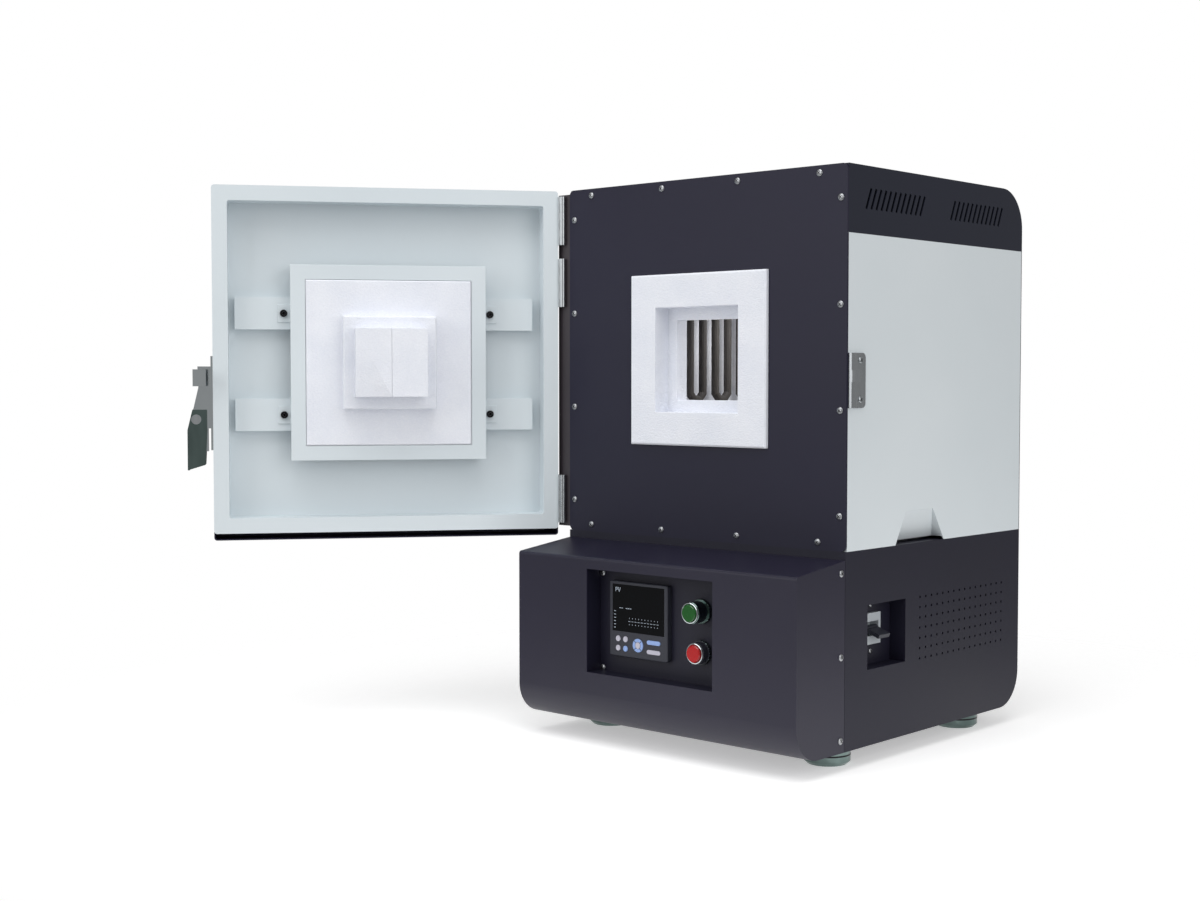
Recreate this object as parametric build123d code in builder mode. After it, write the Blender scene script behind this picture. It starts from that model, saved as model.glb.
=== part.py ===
from build123d import *
import math
import os

# Overall sizes of the case and the base
body_width = 450.0
body_depth = 420.0
base_height = 240.0
case_height = 460.0
sheet = 1.5
rear_top_radius = 52.0
rear_bottom_radius = 48.0
edge_radius = 3.0
seam = 0.6
clearance = 0.3

# Feet
foot_radius = 29.0
foot_height = 24.0
foot_edge = 4.0
foot_front_inset = 32.0
foot_rear_inset = 336.0
foot_side_inset = 47.0

# Console
console_depth = 98.0
console_lip_drop = 22.0
console_rear_drop = 10.0
console_bottom_radius = 43.0
console_top_radius = 4.0
console_tab_length = 16.0
console_tab_lap = 10.0
console_tab_margin = 14.0

# Sunken control panel
recess_width = 204.5
recess_height = 132.5
recess_depth = 26.5
recess_centre_x = -0.7
recess_centre_drop = 102.7
recess_flange = 8.0

# Temperature controller
bezel_size = 96.0
bezel_thickness = 8.5
bezel_radius = 3.0
controller_x = -31.6
controller_drop = 98.4
controller_body_size = 90.0
controller_body_depth = 58.0
screen_width = 86.0
screen_height = 60.0
screen_rise = 14.0
screen_depth = 1.0
screen_glass = 0.8
key_proud = 1.0
key_length = 4.0
key_well = 4.2
key_gap = 0.15
round_key_radius = 3.7
round_key_left = -33.2
round_key_right = -20.9
key_row_upper = -25.4
key_row_lower = -37.4
ring_key_radius = 8.5
ring_key_bore = 4.6
centre_key_radius = 4.2
ring_key_drop = -31.2
oblong_key_width = 22.0
oblong_key_height = 5.4
oblong_key_x = 25.9

# Push-buttons
button_x = 65.0
green_drop = 78.0
red_drop = 128.5
button_base_radius = 15.0
button_base_thickness = 5.0
button_collar_radius = 13.6
button_cap_radius = 10.5
button_bore_gap = 0.1
green_collar_height = 24.0
green_proud = 27.5
red_collar_height = 14.5
red_proud = 18.5
button_travel = 4.0
button_barrel_radius = 11.0
button_barrel_length = 16.0
button_block_width = 30.0
button_block_height = 40.0
button_block_depth = 32.0
cap_stem_radius = 5.0
cap_stem_length = 9.0
cap_thickness = 6.0
cap_dome = 1.0

# Holes for the breaker screws
screw_hole_radius = 2.2

# Front plate
plate_thickness = 3.0
plate_corner = 7.0
flange = 18.0

# Side panels and top cover
cover_side_height = 81.5
vent_count = 12
vent_pitch = 10.95
vent_height = 27.2
vent_width = 4.0
vent_lean = 11.8
vent_top_drop = 25.4
vent_first_group = 50.9
vent_second_group = 245.0
scoop_low_near = 109.0
scoop_low_far = 223.0
scoop_high_near = 132.0
scoop_high_far = 195.6
scoop_height = 41.3
scoop_slit = 4.0
scoop_depth = 20.0
scoop_top_depth = 1.0

# Rear panel
rear_slot_columns = 3
rear_slot_rows = 7
rear_slot_length = 90.0
rear_slot_height = 6.0
rear_slot_pitch_x = 125.0
rear_slot_pitch_z = 26.0

# Base side openings
perforation_columns = 16
perforation_rows = 7
perforation_pitch_y = 13.7
perforation_pitch_z = 13.0
perforation_radius = 1.9
perforation_near = 167.0
perforation_top_drop = 69.3
breaker_opening_length = 85.0
breaker_opening_height = 79.0
breaker_opening_near = 48.0
breaker_opening_drop = 68.0
breaker_recess_depth = 23.0
breaker_recess_lip = 6.0
breaker_width = 34.0
breaker_face_height = 39.0
breaker_face_proud = 3.0
breaker_body_width = 36.0
breaker_body_height = 80.0
breaker_body_depth = 50.0
breaker_rise = 4.8
breaker_gap = 0.5
toggle_slot_height = 18.0
toggle_slot_depth = 8.0
toggle_hub_radius = 4.0
toggle_width = 24.0
toggle_length = 18.0
toggle_thickness = 5.0
toggle_rest_angle = 21.0
toggle_side_gap = 0.3

# Fibre collar and chamber
frame_size = 220.0
frame_proud = 6.0
frame_rear = 40.0
frame_rise = 230.0
mouth_size = 135.0
mouth_depth = 26.0
throat_size = 104.0
frame_edge = 2.0
chamber_width = 210.0
chamber_floor = 160.0
chamber_roof = 324.0
chamber_length = 240.0
lining_wall = 15.0
backing_side_room = 35.0
backing_top = 392.0
backing_rear_room = 50.0
backing_front_gap = 0.5
hearth_width = 150.0
hearth_length = 205.0
hearth_thickness = 10.0
hearth_front_gap = 15.0

# Heating elements
element_radius = 5.5
element_hole_radius = 6.2
element_pitch = 27.3
element_count = 3
element_first = 93.0
element_wall_gap = 15.0
element_bend_rise = 26.0
element_bend_share = 0.3
element_sides = 12
element_top = 424.0
clamp_length = 46.0
clamp_width = 20.0
clamp_height = 14.0
clamp_bore_gap = 0.3

# Thermocouple
probe_radius = 4.0
probe_reach = 18.0
probe_drop = 22.0
probe_gap = 0.5
probe_head_radius = 15.0
probe_head_length = 28.0

# Parts inside the base
core_width = 90.0
core_depth = 40.0
core_height = 78.0
core_window = 18.0
coil_depth = 74.0
coil_margin = 6.0
transformer_side_inset = 107.0
transformer_y = 40.0
sink_width = 100.0
sink_length = 110.0
sink_base = 8.0
sink_height = 44.0
sink_fins = 9
sink_fin = 2.5
relay_width = 45.0
relay_length = 58.0
relay_height = 24.0
sink_x = 20.0
sink_y = 110.0
terminal_length = 100.0
terminal_width = 30.0
terminal_height = 26.0
terminal_step = 8.0
terminal_count = 8
terminal_side_inset = 85.0
terminal_y = 150.0

# Cable gland
gland_side_inset = 75.0
gland_rise = 46.0
gland_bore = 4.5
gland_thread = 10.0
gland_flange = 14.0
gland_flange_width = 6.0
gland_dome = 11.5
gland_reach = 22.0
gland_inner_length = 12.0
gland_gap = 0.3

# Hinges
knuckle_radius = 4.0
knuckle_count = 6
hinge_length = 65.4
knuckle_gap = 0.2
pin_radius = 2.0
pin_gap = 0.05
hinge_bore_sides = 8
hinge_axis_out = 9.5
hinge_face_gap = 0.4
leaf_thickness = 1.5
door_edge_offset = 5.5
frame_leaf_reach = 9.0
door_leaf_reach = 24.0
hinge_low = 9.4
hinge_middle = 303.4
hinge_high = 387.3
post_width = 20.5
post_thickness = 3.0
post_return = 32.0
post_low = 5.0
post_high = 455.0

# Door
door_open_angle = 126.869898
door_overhang = 6.0
door_bottom_rise = 1.0
door_top_rise = 460.0
door_thickness = 50.0
door_gap = 8.0
door_skirt = 9.0
door_lip = 20.0
door_pan_depth = 39.0
door_corner = 4.0
pan_corner = 5.0
bar_hinge_inset = 32.0
bar_latch_inset = 28.0
bar_height = 43.0
bar_depth = 14.0
bar_upper_rise = 293.0
bar_lower_rise = 157.5
tray_size = 260.0
stack_rise = 227.0
tray_ear_length = 17.0
tray_ear_height = 24.0
board_size = 220.0
board_gap = 0.5
board_face_gap = 0.3
board_edge = 1.5
step_size = 123.0
step_height = 22.0
plug_width = 94.0
plug_height = 90.0
plug_reach = 53.3
plug_joint = 0.3

# Latch
latch_plate_low = 111.5
latch_plate_high = 235.6
latch_plate_near = 6.0
latch_plate_far = 36.0
latch_plate_thickness = 3.0
cheek_near = 11.0
cheek_far = 29.0
cheek_thickness = 2.0
cheek_reach = 24.0
pivot_out = 22.0
pivot_rise = 152.2
pivot_radius = 2.2
pivot_gap = 0.08
cheek_foot = 12.0
guide_low = 194.0
guide_high = 222.0
guide_reach = 17.0
guide_near_reach = 4.6
lever_thickness = 2.0
lever_side_gap = 0.5
lever_web = 2.5
lever_inner_out = 8.0
lever_outer_out = 33.5
lever_top_rise = 165.0
lever_waist_rise = 138.0
lever_tip_rise = 85.0
lever_tip_lift = 7.0
link_drop = 34.4
link_radius = 2.0
link_play = 0.3
link_rise_play = 1.6
rivet_head_radius = 6.5
rivet_head_height = 1.6
strap_out = 6.5
strap_thickness = 2.0
lug_end_out = 26.5
lug_half_height = 8.0
head_low = 196.0
head_high = 218.0
head_outer_out = 24.5
hook_bar_out = 11.2
tooth_out = 7.8
tooth_thickness = 4.0

# Keeper
keeper_near = 3.0
keeper_length = 34.5
keeper_low = 171.0
keeper_high = 236.6
keeper_thickness = 2.0
keeper_corner = 6.0
keeper_lip = 4.0
keeper_lip_height = 5.0
keeper_screw_near = 26.5
keeper_screw_low = 181.0
keeper_screw_high = 228.0
strike_low = 202.0
strike_high = 216.0
strike_length = 11.0
strike_reach = 13.0
strike_root = 6.0

# Positions that follow from the sizes
half_width = body_width / 2
front_y = -(foot_front_inset + foot_rear_inset) / 2
rear_y = front_y + body_depth
base_bottom = foot_height
base_top = base_bottom + base_height
case_top = base_top + case_height
cover_low = case_top - cover_side_height
console_y = front_y - console_depth
console_rear = front_y - seam
inner_x = half_width - sheet
frame_z = base_top + frame_rise
recess_z = base_top - recess_centre_drop
recess_floor = console_y + recess_depth
controller_z = base_top - controller_drop
bezel_y = recess_floor - bezel_thickness
backing_width = body_width - 2 * backing_side_room
backing_rear = body_depth - backing_rear_room
transformer_x = -half_width + transformer_side_inset
terminal_x = -half_width + terminal_side_inset
gland_x = -half_width + gland_side_inset
door_open_cos = math.cos(math.radians(door_open_angle))
door_open_sin = -math.sin(math.radians(door_open_angle))
tray_centre_s = half_width + hinge_axis_out - door_edge_offset
door_width = tray_centre_s + half_width + door_overhang
bar_length = door_width - bar_hinge_inset - bar_latch_inset
bar_centre_s = bar_hinge_inset + bar_length / 2
pivot_s = door_width + pivot_out
lever_inner_s = door_width + lever_inner_out
lever_outer_s = door_width + lever_outer_out
strap_s = door_width + strap_out
lug_end_s = door_width + lug_end_out
head_outer_s = door_width + head_outer_out
hook_bar_s = door_width + hook_bar_out
tooth_s = door_width + tooth_out


def front_at(y):
    """Plane seen from the front, with x to the right and z up."""
    return Plane.XZ.offset(-y)


def side_at(x):
    """Plane seen from the right, with y to the right and z up."""
    return Plane.YZ.offset(x)


os.makedirs("parts", exist_ok=True)


def keep(part, name):
    """Label a finished piece and write it as one STEP file."""
    part.label = name
    export_step(part, f"parts/{name}.step")


# Front plate with the square hole for the fibre collar
with BuildPart() as front_plate:
    with BuildSketch(front_at(front_y)):
        with Locations((0, (base_top + case_top) / 2)):
            RectangleRounded(body_width, case_height, plate_corner)
        with Locations((0, frame_z)):
            Rectangle(frame_size + 2 * clearance, frame_size + 2 * clearance, mode=Mode.SUBTRACT)
    extrude(amount=-plate_thickness)
keep(front_plate.part, "front_plate")

# Side panels, bent at the front and the rear, with a pressed scoop at the foot
flange_y = front_y + plate_thickness
scoop_low_mid = front_y + (scoop_low_near + scoop_low_far) / 2
scoop_high_mid = front_y + (scoop_high_near + scoop_high_far) / 2
scoop_low_length = scoop_low_far - scoop_low_near
scoop_high_length = scoop_high_far - scoop_high_near
with BuildPart() as side_panel_right:
    with BuildSketch(Plane.XY.offset(base_top)):
        with BuildLine():
            Polyline(
                (half_width - flange, flange_y),
                (half_width, flange_y),
                (half_width, rear_y - sheet),
                (half_width - flange, rear_y - sheet),
                (half_width - flange, rear_y - 2 * sheet),
                (inner_x, rear_y - 2 * sheet),
                (inner_x, flange_y + sheet),
                (half_width - flange, flange_y + sheet),
                close=True,
            )
        make_face()
    extrude(amount=cover_low - base_top)
    with BuildSketch(Plane.XY.offset(base_top + scoop_slit)):
        with Locations((half_width, scoop_low_mid)):
            Rectangle(scoop_depth, scoop_low_length + 2 * sheet, align=(Align.MAX, Align.CENTER))
    with BuildSketch(Plane.XY.offset(base_top + scoop_height + sheet)):
        with Locations((half_width, scoop_high_mid)):
            Rectangle(scoop_top_depth + sheet, scoop_high_length + 2 * sheet, align=(Align.MAX, Align.CENTER))
    loft()
    with BuildSketch(Plane.XY.offset(base_top)):
        with Locations((half_width + sheet, scoop_low_mid)):
            Rectangle(scoop_depth, scoop_low_length, align=(Align.MAX, Align.CENTER))
    with BuildSketch(Plane.XY.offset(base_top + scoop_height)):
        with Locations((half_width + sheet, scoop_high_mid)):
            Rectangle(scoop_top_depth + sheet, scoop_high_length, align=(Align.MAX, Align.CENTER))
    loft(mode=Mode.SUBTRACT)
keep(side_panel_right.part, "side_panel_right")

with BuildPart() as side_panel_left:
    add(mirror(side_panel_right.part, about=Plane.YZ))
keep(side_panel_left.part, "side_panel_left")

# Top cover with two groups of leaning vent slots on each side
vent_slope = math.degrees(math.atan(vent_lean / vent_height))
vent_mid_z = case_top - vent_top_drop - vent_height / 2
vent_span = vent_pitch * (vent_count - 1)
vent_groups = [front_y + vent_first_group, front_y + vent_second_group]
with BuildPart() as top_cover:
    with BuildSketch(side_at(-half_width)):
        with BuildLine():
            Polyline(
                (rear_y, case_top - rear_top_radius),
                (rear_y, cover_low),
                (flange_y, cover_low),
                (flange_y, case_top),
                (rear_y - rear_top_radius, case_top),
            )
            RadiusArc(
                (rear_y - rear_top_radius, case_top),
                (rear_y, case_top - rear_top_radius),
                rear_top_radius,
            )
        make_face()
    extrude(amount=body_width)
    offset(amount=-sheet, openings=top_cover.faces().filter_by(Axis.Z).sort_by(Axis.Z)[0])
    with BuildSketch(front_at(flange_y)):
        with Locations((0, cover_low)):
            Rectangle(
                body_width - 2 * flange,
                cover_side_height - flange,
                align=(Align.CENTER, Align.MIN),
            )
    extrude(amount=-sheet, mode=Mode.SUBTRACT)
    for group_start in vent_groups:
        with BuildSketch(side_at(-half_width)):
            with Locations((group_start - vent_lean / 2 + vent_span / 2, vent_mid_z)):
                with GridLocations(vent_pitch, vent_height, vent_count, 1):
                    Rectangle(vent_width, vent_height, rotation=-vent_slope)
        extrude(amount=body_width, mode=Mode.SUBTRACT)
keep(top_cover.part, "top_cover")

# Rear panel with rows of long slots
with BuildPart() as rear_panel:
    with BuildSketch(front_at(rear_y - sheet)):
        with Locations((0, (base_top + cover_low) / 2)):
            Rectangle(body_width, cover_low - base_top)
            with GridLocations(rear_slot_pitch_x, rear_slot_pitch_z, rear_slot_columns, rear_slot_rows):
                Rectangle(rear_slot_length, rear_slot_height, mode=Mode.SUBTRACT)
    extrude(amount=-sheet)
keep(rear_panel.part, "rear_panel")

# Base sides with a screw tab that reaches into the console
perforation_mid_y = front_y + perforation_near + perforation_pitch_y * (perforation_columns - 1) / 2
perforation_mid_z = base_top - perforation_top_drop - perforation_pitch_z * (perforation_rows - 1) / 2
breaker_y = front_y + breaker_opening_near + breaker_opening_length / 2
breaker_opening_z = base_top - breaker_opening_drop - breaker_opening_height / 2

def base_side(x, tab_x, tab_way):
    """Plain side sheet of the base whose tab lies against its inner face."""
    with BuildPart() as made:
        with BuildSketch(side_at(x)):
            with BuildLine():
                Polyline(
                    (rear_y, base_bottom + rear_bottom_radius),
                    (rear_y, base_top),
                    (front_y, base_top),
                    (front_y, base_bottom),
                    (rear_y - rear_bottom_radius, base_bottom),
                )
                RadiusArc(
                    (rear_y - rear_bottom_radius, base_bottom),
                    (rear_y, base_bottom + rear_bottom_radius),
                    -rear_bottom_radius,
                )
            make_face()
        extrude(amount=sheet)
        with BuildSketch(side_at(tab_x)):
            with Locations((front_y + console_tab_lap, (base_top + base_bottom) / 2)):
                Rectangle(
                    console_tab_length + console_tab_lap,
                    base_height - 2 * console_tab_margin,
                    align=(Align.MAX, Align.CENTER),
                )
        extrude(amount=tab_way * sheet)
    return made.part


keep(base_side(-half_width, -inner_x, 1), "base_side_left")

with BuildPart() as base_side_right:
    add(base_side(inner_x, inner_x, -1))
    with BuildSketch(side_at(inner_x)):
        with Locations((perforation_mid_y, perforation_mid_z)):
            with GridLocations(
                perforation_pitch_y,
                perforation_pitch_z,
                perforation_columns,
                perforation_rows,
            ):
                RegularPolygon(perforation_radius, 6)
        with Locations((breaker_y, breaker_opening_z)):
            Rectangle(breaker_opening_length, breaker_opening_height)
    extrude(amount=sheet, mode=Mode.SUBTRACT)
keep(base_side_right.part, "base_side_right")

# Bottom and rear of the base, one bent sheet
gland_z = base_bottom + gland_rise + rear_bottom_radius
with BuildPart() as base_pan:
    with BuildSketch(side_at(-inner_x)):
        with BuildLine():
            Polyline(
                (front_y, base_bottom + sheet),
                (front_y, base_bottom),
                (rear_y - rear_bottom_radius, base_bottom),
            )
            RadiusArc(
                (rear_y - rear_bottom_radius, base_bottom),
                (rear_y, base_bottom + rear_bottom_radius),
                -rear_bottom_radius,
            )
            Polyline(
                (rear_y, base_bottom + rear_bottom_radius),
                (rear_y, base_top),
                (rear_y - sheet, base_top),
                (rear_y - sheet, base_bottom + rear_bottom_radius),
            )
            RadiusArc(
                (rear_y - sheet, base_bottom + rear_bottom_radius),
                (rear_y - rear_bottom_radius, base_bottom + sheet),
                rear_bottom_radius - sheet,
            )
            Line((rear_y - rear_bottom_radius, base_bottom + sheet), (front_y, base_bottom + sheet))
        make_face()
    extrude(amount=2 * inner_x)
    with BuildSketch(front_at(rear_y)):
        with Locations((gland_x, gland_z)):
            Circle(gland_thread + gland_gap)
    extrude(amount=sheet, mode=Mode.SUBTRACT)
keep(base_pan.part, "base_pan")

# Deck between the base and the case
with BuildPart() as base_deck:
    with BuildSketch(side_at(-inner_x)):
        with BuildLine():
            Polyline(
                (front_y, base_top - console_rear_drop),
                (front_y, base_top),
                (rear_y - sheet, base_top),
                (rear_y - sheet, base_top - sheet),
                (front_y + sheet, base_top - sheet),
                (front_y + sheet, base_top - console_rear_drop),
                close=True,
            )
        make_face()
    extrude(amount=2 * inner_x)
    with BuildSketch(front_at(flange_y)):
        with Locations((0, base_top)):
            Rectangle(body_width - 2 * flange - 2 * seam, flange, align=(Align.CENTER, Align.MIN))
    extrude(amount=-sheet)
keep(base_deck.part, "base_deck")

# Console with a sloping top and a large radius under its front
with BuildPart() as console_shell:
    with BuildSketch(side_at(-half_width)):
        with BuildLine():
            Polyline(
                (console_y + console_bottom_radius, base_bottom),
                (console_rear, base_bottom),
                (console_rear, base_top - console_rear_drop),
                (console_y, base_top - console_lip_drop),
                (console_y, base_bottom + console_bottom_radius),
            )
            RadiusArc(
                (console_y, base_bottom + console_bottom_radius),
                (console_y + console_bottom_radius, base_bottom),
                -console_bottom_radius,
            )
        make_face()
    extrude(amount=body_width)
    lip_edges = console_shell.edges().filter_by(Axis.X).group_by(Axis.Y)[0]
    fillet(lip_edges.sort_by(Axis.Z)[-1], console_top_radius)
    offset(amount=-sheet, openings=console_shell.faces().sort_by(Axis.Y)[-1])
    with BuildSketch(front_at(console_y)):
        with Locations((recess_centre_x, recess_z)):
            Rectangle(recess_width, recess_height)
    extrude(amount=-2 * sheet, mode=Mode.SUBTRACT)
keep(console_shell.part, "console_shell")

# Sunken control panel behind the console front
button_points = [(button_x, base_top - green_drop), (button_x, base_top - red_drop)]
with BuildPart() as control_recess:
    with BuildSketch(front_at(console_y + sheet)):
        with Locations((recess_centre_x, recess_z)):
            Rectangle(recess_width + 2 * recess_flange, recess_height + 2 * recess_flange)
            Rectangle(recess_width, recess_height, mode=Mode.SUBTRACT)
    extrude(amount=-sheet)
    with BuildSketch(front_at(console_y + sheet)):
        with Locations((recess_centre_x, recess_z)):
            Rectangle(recess_width + 2 * sheet, recess_height + 2 * sheet)
            Rectangle(recess_width, recess_height, mode=Mode.SUBTRACT)
    extrude(amount=-recess_depth)
    with BuildSketch(front_at(recess_floor)):
        with Locations((recess_centre_x, recess_z)):
            Rectangle(recess_width + sheet, recess_height + sheet)
        with Locations((controller_x, controller_z)):
            Rectangle(
                controller_body_size + 2 * clearance,
                controller_body_size + 2 * clearance,
                mode=Mode.SUBTRACT,
            )
        with Locations(*button_points):
            Circle(button_barrel_radius + clearance, mode=Mode.SUBTRACT)
    extrude(amount=-sheet)
keep(control_recess.part, "control_recess")

# Controller case with the screen window and the key wells
round_key_points = [
    (controller_x + x, controller_z + z)
    for z in (key_row_upper, key_row_lower)
    for x in (round_key_left, round_key_right)
]
oblong_key_points = [(controller_x + oblong_key_x, controller_z + z) for z in (key_row_upper, key_row_lower)]
ring_key_point = (controller_x, controller_z + ring_key_drop)
with BuildPart() as controller_case:
    with BuildSketch(front_at(recess_floor)):
        with Locations((controller_x, controller_z)):
            RectangleRounded(bezel_size, bezel_size, bezel_radius)
    extrude(amount=bezel_thickness)
    chamfer(controller_case.faces().sort_by(Axis.Y)[0].edges(), screen_depth)
    with BuildSketch(front_at(recess_floor)):
        with Locations((controller_x, controller_z)):
            Rectangle(controller_body_size, controller_body_size)
    extrude(amount=-controller_body_depth)
    with BuildSketch(front_at(bezel_y)):
        with Locations((controller_x, controller_z + screen_rise)):
            Rectangle(screen_width, screen_height)
    extrude(amount=-screen_depth, mode=Mode.SUBTRACT)
    with BuildSketch(front_at(bezel_y)):
        with Locations(*round_key_points):
            Circle(round_key_radius + key_gap)
        with Locations(ring_key_point):
            Circle(ring_key_radius + key_gap)
        with Locations(*oblong_key_points):
            SlotOverall(oblong_key_width + 2 * key_gap, oblong_key_height + 2 * key_gap)
    extrude(amount=-key_well, mode=Mode.SUBTRACT)
keep(controller_case.part, "controller_case")

with BuildPart() as controller_screen:
    with BuildSketch(front_at(bezel_y + screen_depth)):
        with Locations((controller_x, controller_z + screen_rise)):
            Rectangle(screen_width - 2 * key_gap, screen_height - 2 * key_gap)
    extrude(amount=screen_glass)
keep(controller_screen.part, "controller_screen")

# Keys of the controller
key_front = bezel_y - key_proud
for index, point in enumerate(round_key_points):
    with BuildPart() as round_key:
        with BuildSketch(front_at(key_front)):
            with Locations(point):
                Circle(round_key_radius)
        extrude(amount=-key_length)
        chamfer(round_key.faces().sort_by(Axis.Y)[0].edges(), key_proud / 3)
    keep(round_key.part, f"round_key_{index + 1}")

with BuildPart() as ring_key:
    with BuildSketch(front_at(key_front)):
        with Locations(ring_key_point):
            Circle(ring_key_radius)
            Circle(ring_key_bore, mode=Mode.SUBTRACT)
    extrude(amount=-key_length)
    chamfer(ring_key.faces().sort_by(Axis.Y)[0].edges(), key_proud / 3)
keep(ring_key.part, "ring_key")

with BuildPart() as centre_key:
    with BuildSketch(front_at(key_front)):
        with Locations(ring_key_point):
            Circle(centre_key_radius)
    extrude(amount=-key_length)
    chamfer(centre_key.faces().sort_by(Axis.Y)[0].edges(), key_proud / 3)
keep(centre_key.part, "centre_key")

for index, point in enumerate(oblong_key_points):
    with BuildPart() as oblong_key:
        with BuildSketch(front_at(key_front)):
            with Locations(point):
                SlotOverall(oblong_key_width, oblong_key_height)
        extrude(amount=-key_length)
        chamfer(oblong_key.faces().sort_by(Axis.Y)[0].edges(), key_proud / 3)
    keep(oblong_key.part, f"oblong_key_{index + 1}")


def button_sleeve(point, collar_height, proud):
    """Fixed sleeve with a base ring, a collar, a barrel and a contact block."""
    well = proud - cap_thickness - button_travel - key_proud
    with BuildPart() as made:
        with BuildSketch(front_at(recess_floor)):
            with Locations(point):
                Circle(button_base_radius)
        extrude(amount=button_base_thickness)
        with BuildSketch(front_at(recess_floor)):
            with Locations(point):
                Circle(button_collar_radius)
        extrude(amount=collar_height)
        chamfer(made.faces().sort_by(Axis.Y)[0].edges(), key_proud)
        with BuildSketch(front_at(recess_floor)):
            with Locations(point):
                Circle(button_barrel_radius)
        extrude(amount=-button_barrel_length)
        with BuildSketch(front_at(recess_floor + button_barrel_length)):
            with Locations(point):
                Rectangle(button_block_width, button_block_height)
        extrude(amount=-button_block_depth)
        with BuildSketch(front_at(recess_floor - collar_height)):
            with Locations(point):
                Circle(button_cap_radius + button_bore_gap)
        extrude(amount=-(collar_height - well), mode=Mode.SUBTRACT)
        with BuildSketch(front_at(recess_floor - well)):
            with Locations(point):
                Circle(cap_stem_radius + button_bore_gap)
        extrude(amount=-(cap_stem_length + button_travel), mode=Mode.SUBTRACT)
    return made.part


def button_cap(point, proud):
    """Moving cap with a bevelled face and a stem."""
    with BuildPart() as made:
        with BuildSketch(front_at(recess_floor - proud)):
            with Locations(point):
                Circle(button_cap_radius)
        extrude(amount=-cap_thickness)
        chamfer(made.faces().sort_by(Axis.Y)[0].edges(), cap_dome)
        with BuildSketch(front_at(recess_floor - proud + cap_thickness)):
            with Locations(point):
                Circle(cap_stem_radius)
        extrude(amount=-cap_stem_length)
    return made.part


keep(button_sleeve(button_points[0], green_collar_height, green_proud), "green_sleeve")
keep(button_cap(button_points[0], green_proud), "green_cap")
keep(button_sleeve(button_points[1], red_collar_height, red_proud), "red_sleeve")
keep(button_cap(button_points[1], red_proud), "red_cap")

# Breaker in its own recess on the right side
breaker_z = breaker_opening_z + breaker_rise
breaker_floor_x = half_width - breaker_recess_depth
with BuildPart() as breaker_recess:
    with BuildSketch(side_at(inner_x)):
        with Locations((breaker_y, breaker_opening_z)):
            Rectangle(
                breaker_opening_length + 2 * breaker_recess_lip,
                breaker_opening_height + 2 * breaker_recess_lip,
            )
            Rectangle(breaker_opening_length, breaker_opening_height, mode=Mode.SUBTRACT)
    extrude(amount=-sheet)
    with BuildSketch(side_at(inner_x)):
        with Locations((breaker_y, breaker_opening_z)):
            Rectangle(breaker_opening_length + 2 * sheet, breaker_opening_height + 2 * sheet)
            Rectangle(breaker_opening_length, breaker_opening_height, mode=Mode.SUBTRACT)
    extrude(amount=-breaker_recess_depth)
    with BuildSketch(side_at(breaker_floor_x)):
        with Locations((breaker_y, breaker_opening_z)):
            Rectangle(breaker_opening_length + sheet, breaker_opening_height + sheet)
        with Locations((breaker_y, breaker_z)):
            Rectangle(
                breaker_width + 2 * breaker_gap,
                breaker_face_height + 2 * breaker_gap,
                mode=Mode.SUBTRACT,
            )
    extrude(amount=-sheet)
keep(breaker_recess.part, "breaker_recess")

toggle_pivot_x = breaker_floor_x + breaker_face_proud - toggle_hub_radius
with BuildPart() as breaker_body:
    with BuildSketch(side_at(breaker_floor_x + breaker_face_proud)):
        with Locations((breaker_y, breaker_z)):
            Rectangle(breaker_width, breaker_face_height)
    extrude(amount=-breaker_face_proud - sheet)
    with BuildSketch(side_at(breaker_floor_x - sheet)):
        with Locations((breaker_y, breaker_z)):
            Rectangle(breaker_body_width, breaker_body_height)
    extrude(amount=-breaker_body_depth)
    with BuildSketch(side_at(breaker_floor_x + breaker_face_proud)):
        with Locations((breaker_y, breaker_z)):
            Rectangle(toggle_width + 2 * toggle_side_gap, toggle_slot_height)
    extrude(amount=-toggle_slot_depth - toggle_hub_radius, mode=Mode.SUBTRACT)
keep(breaker_body.part, "breaker_body")

toggle_plane = Plane(
    origin=(toggle_pivot_x, breaker_y - toggle_width / 2, breaker_z),
    x_dir=(1, 0, 0),
    z_dir=(0, 1, 0),
)
with BuildPart() as breaker_toggle:
    with BuildSketch(toggle_plane):
        Circle(toggle_hub_radius)
        with Locations(Rotation(0, 0, toggle_rest_angle)):
            Rectangle(toggle_length + toggle_hub_radius, toggle_thickness, align=(Align.MIN, Align.CENTER))
    extrude(amount=toggle_width)
keep(breaker_toggle.part, "breaker_toggle")

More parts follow.
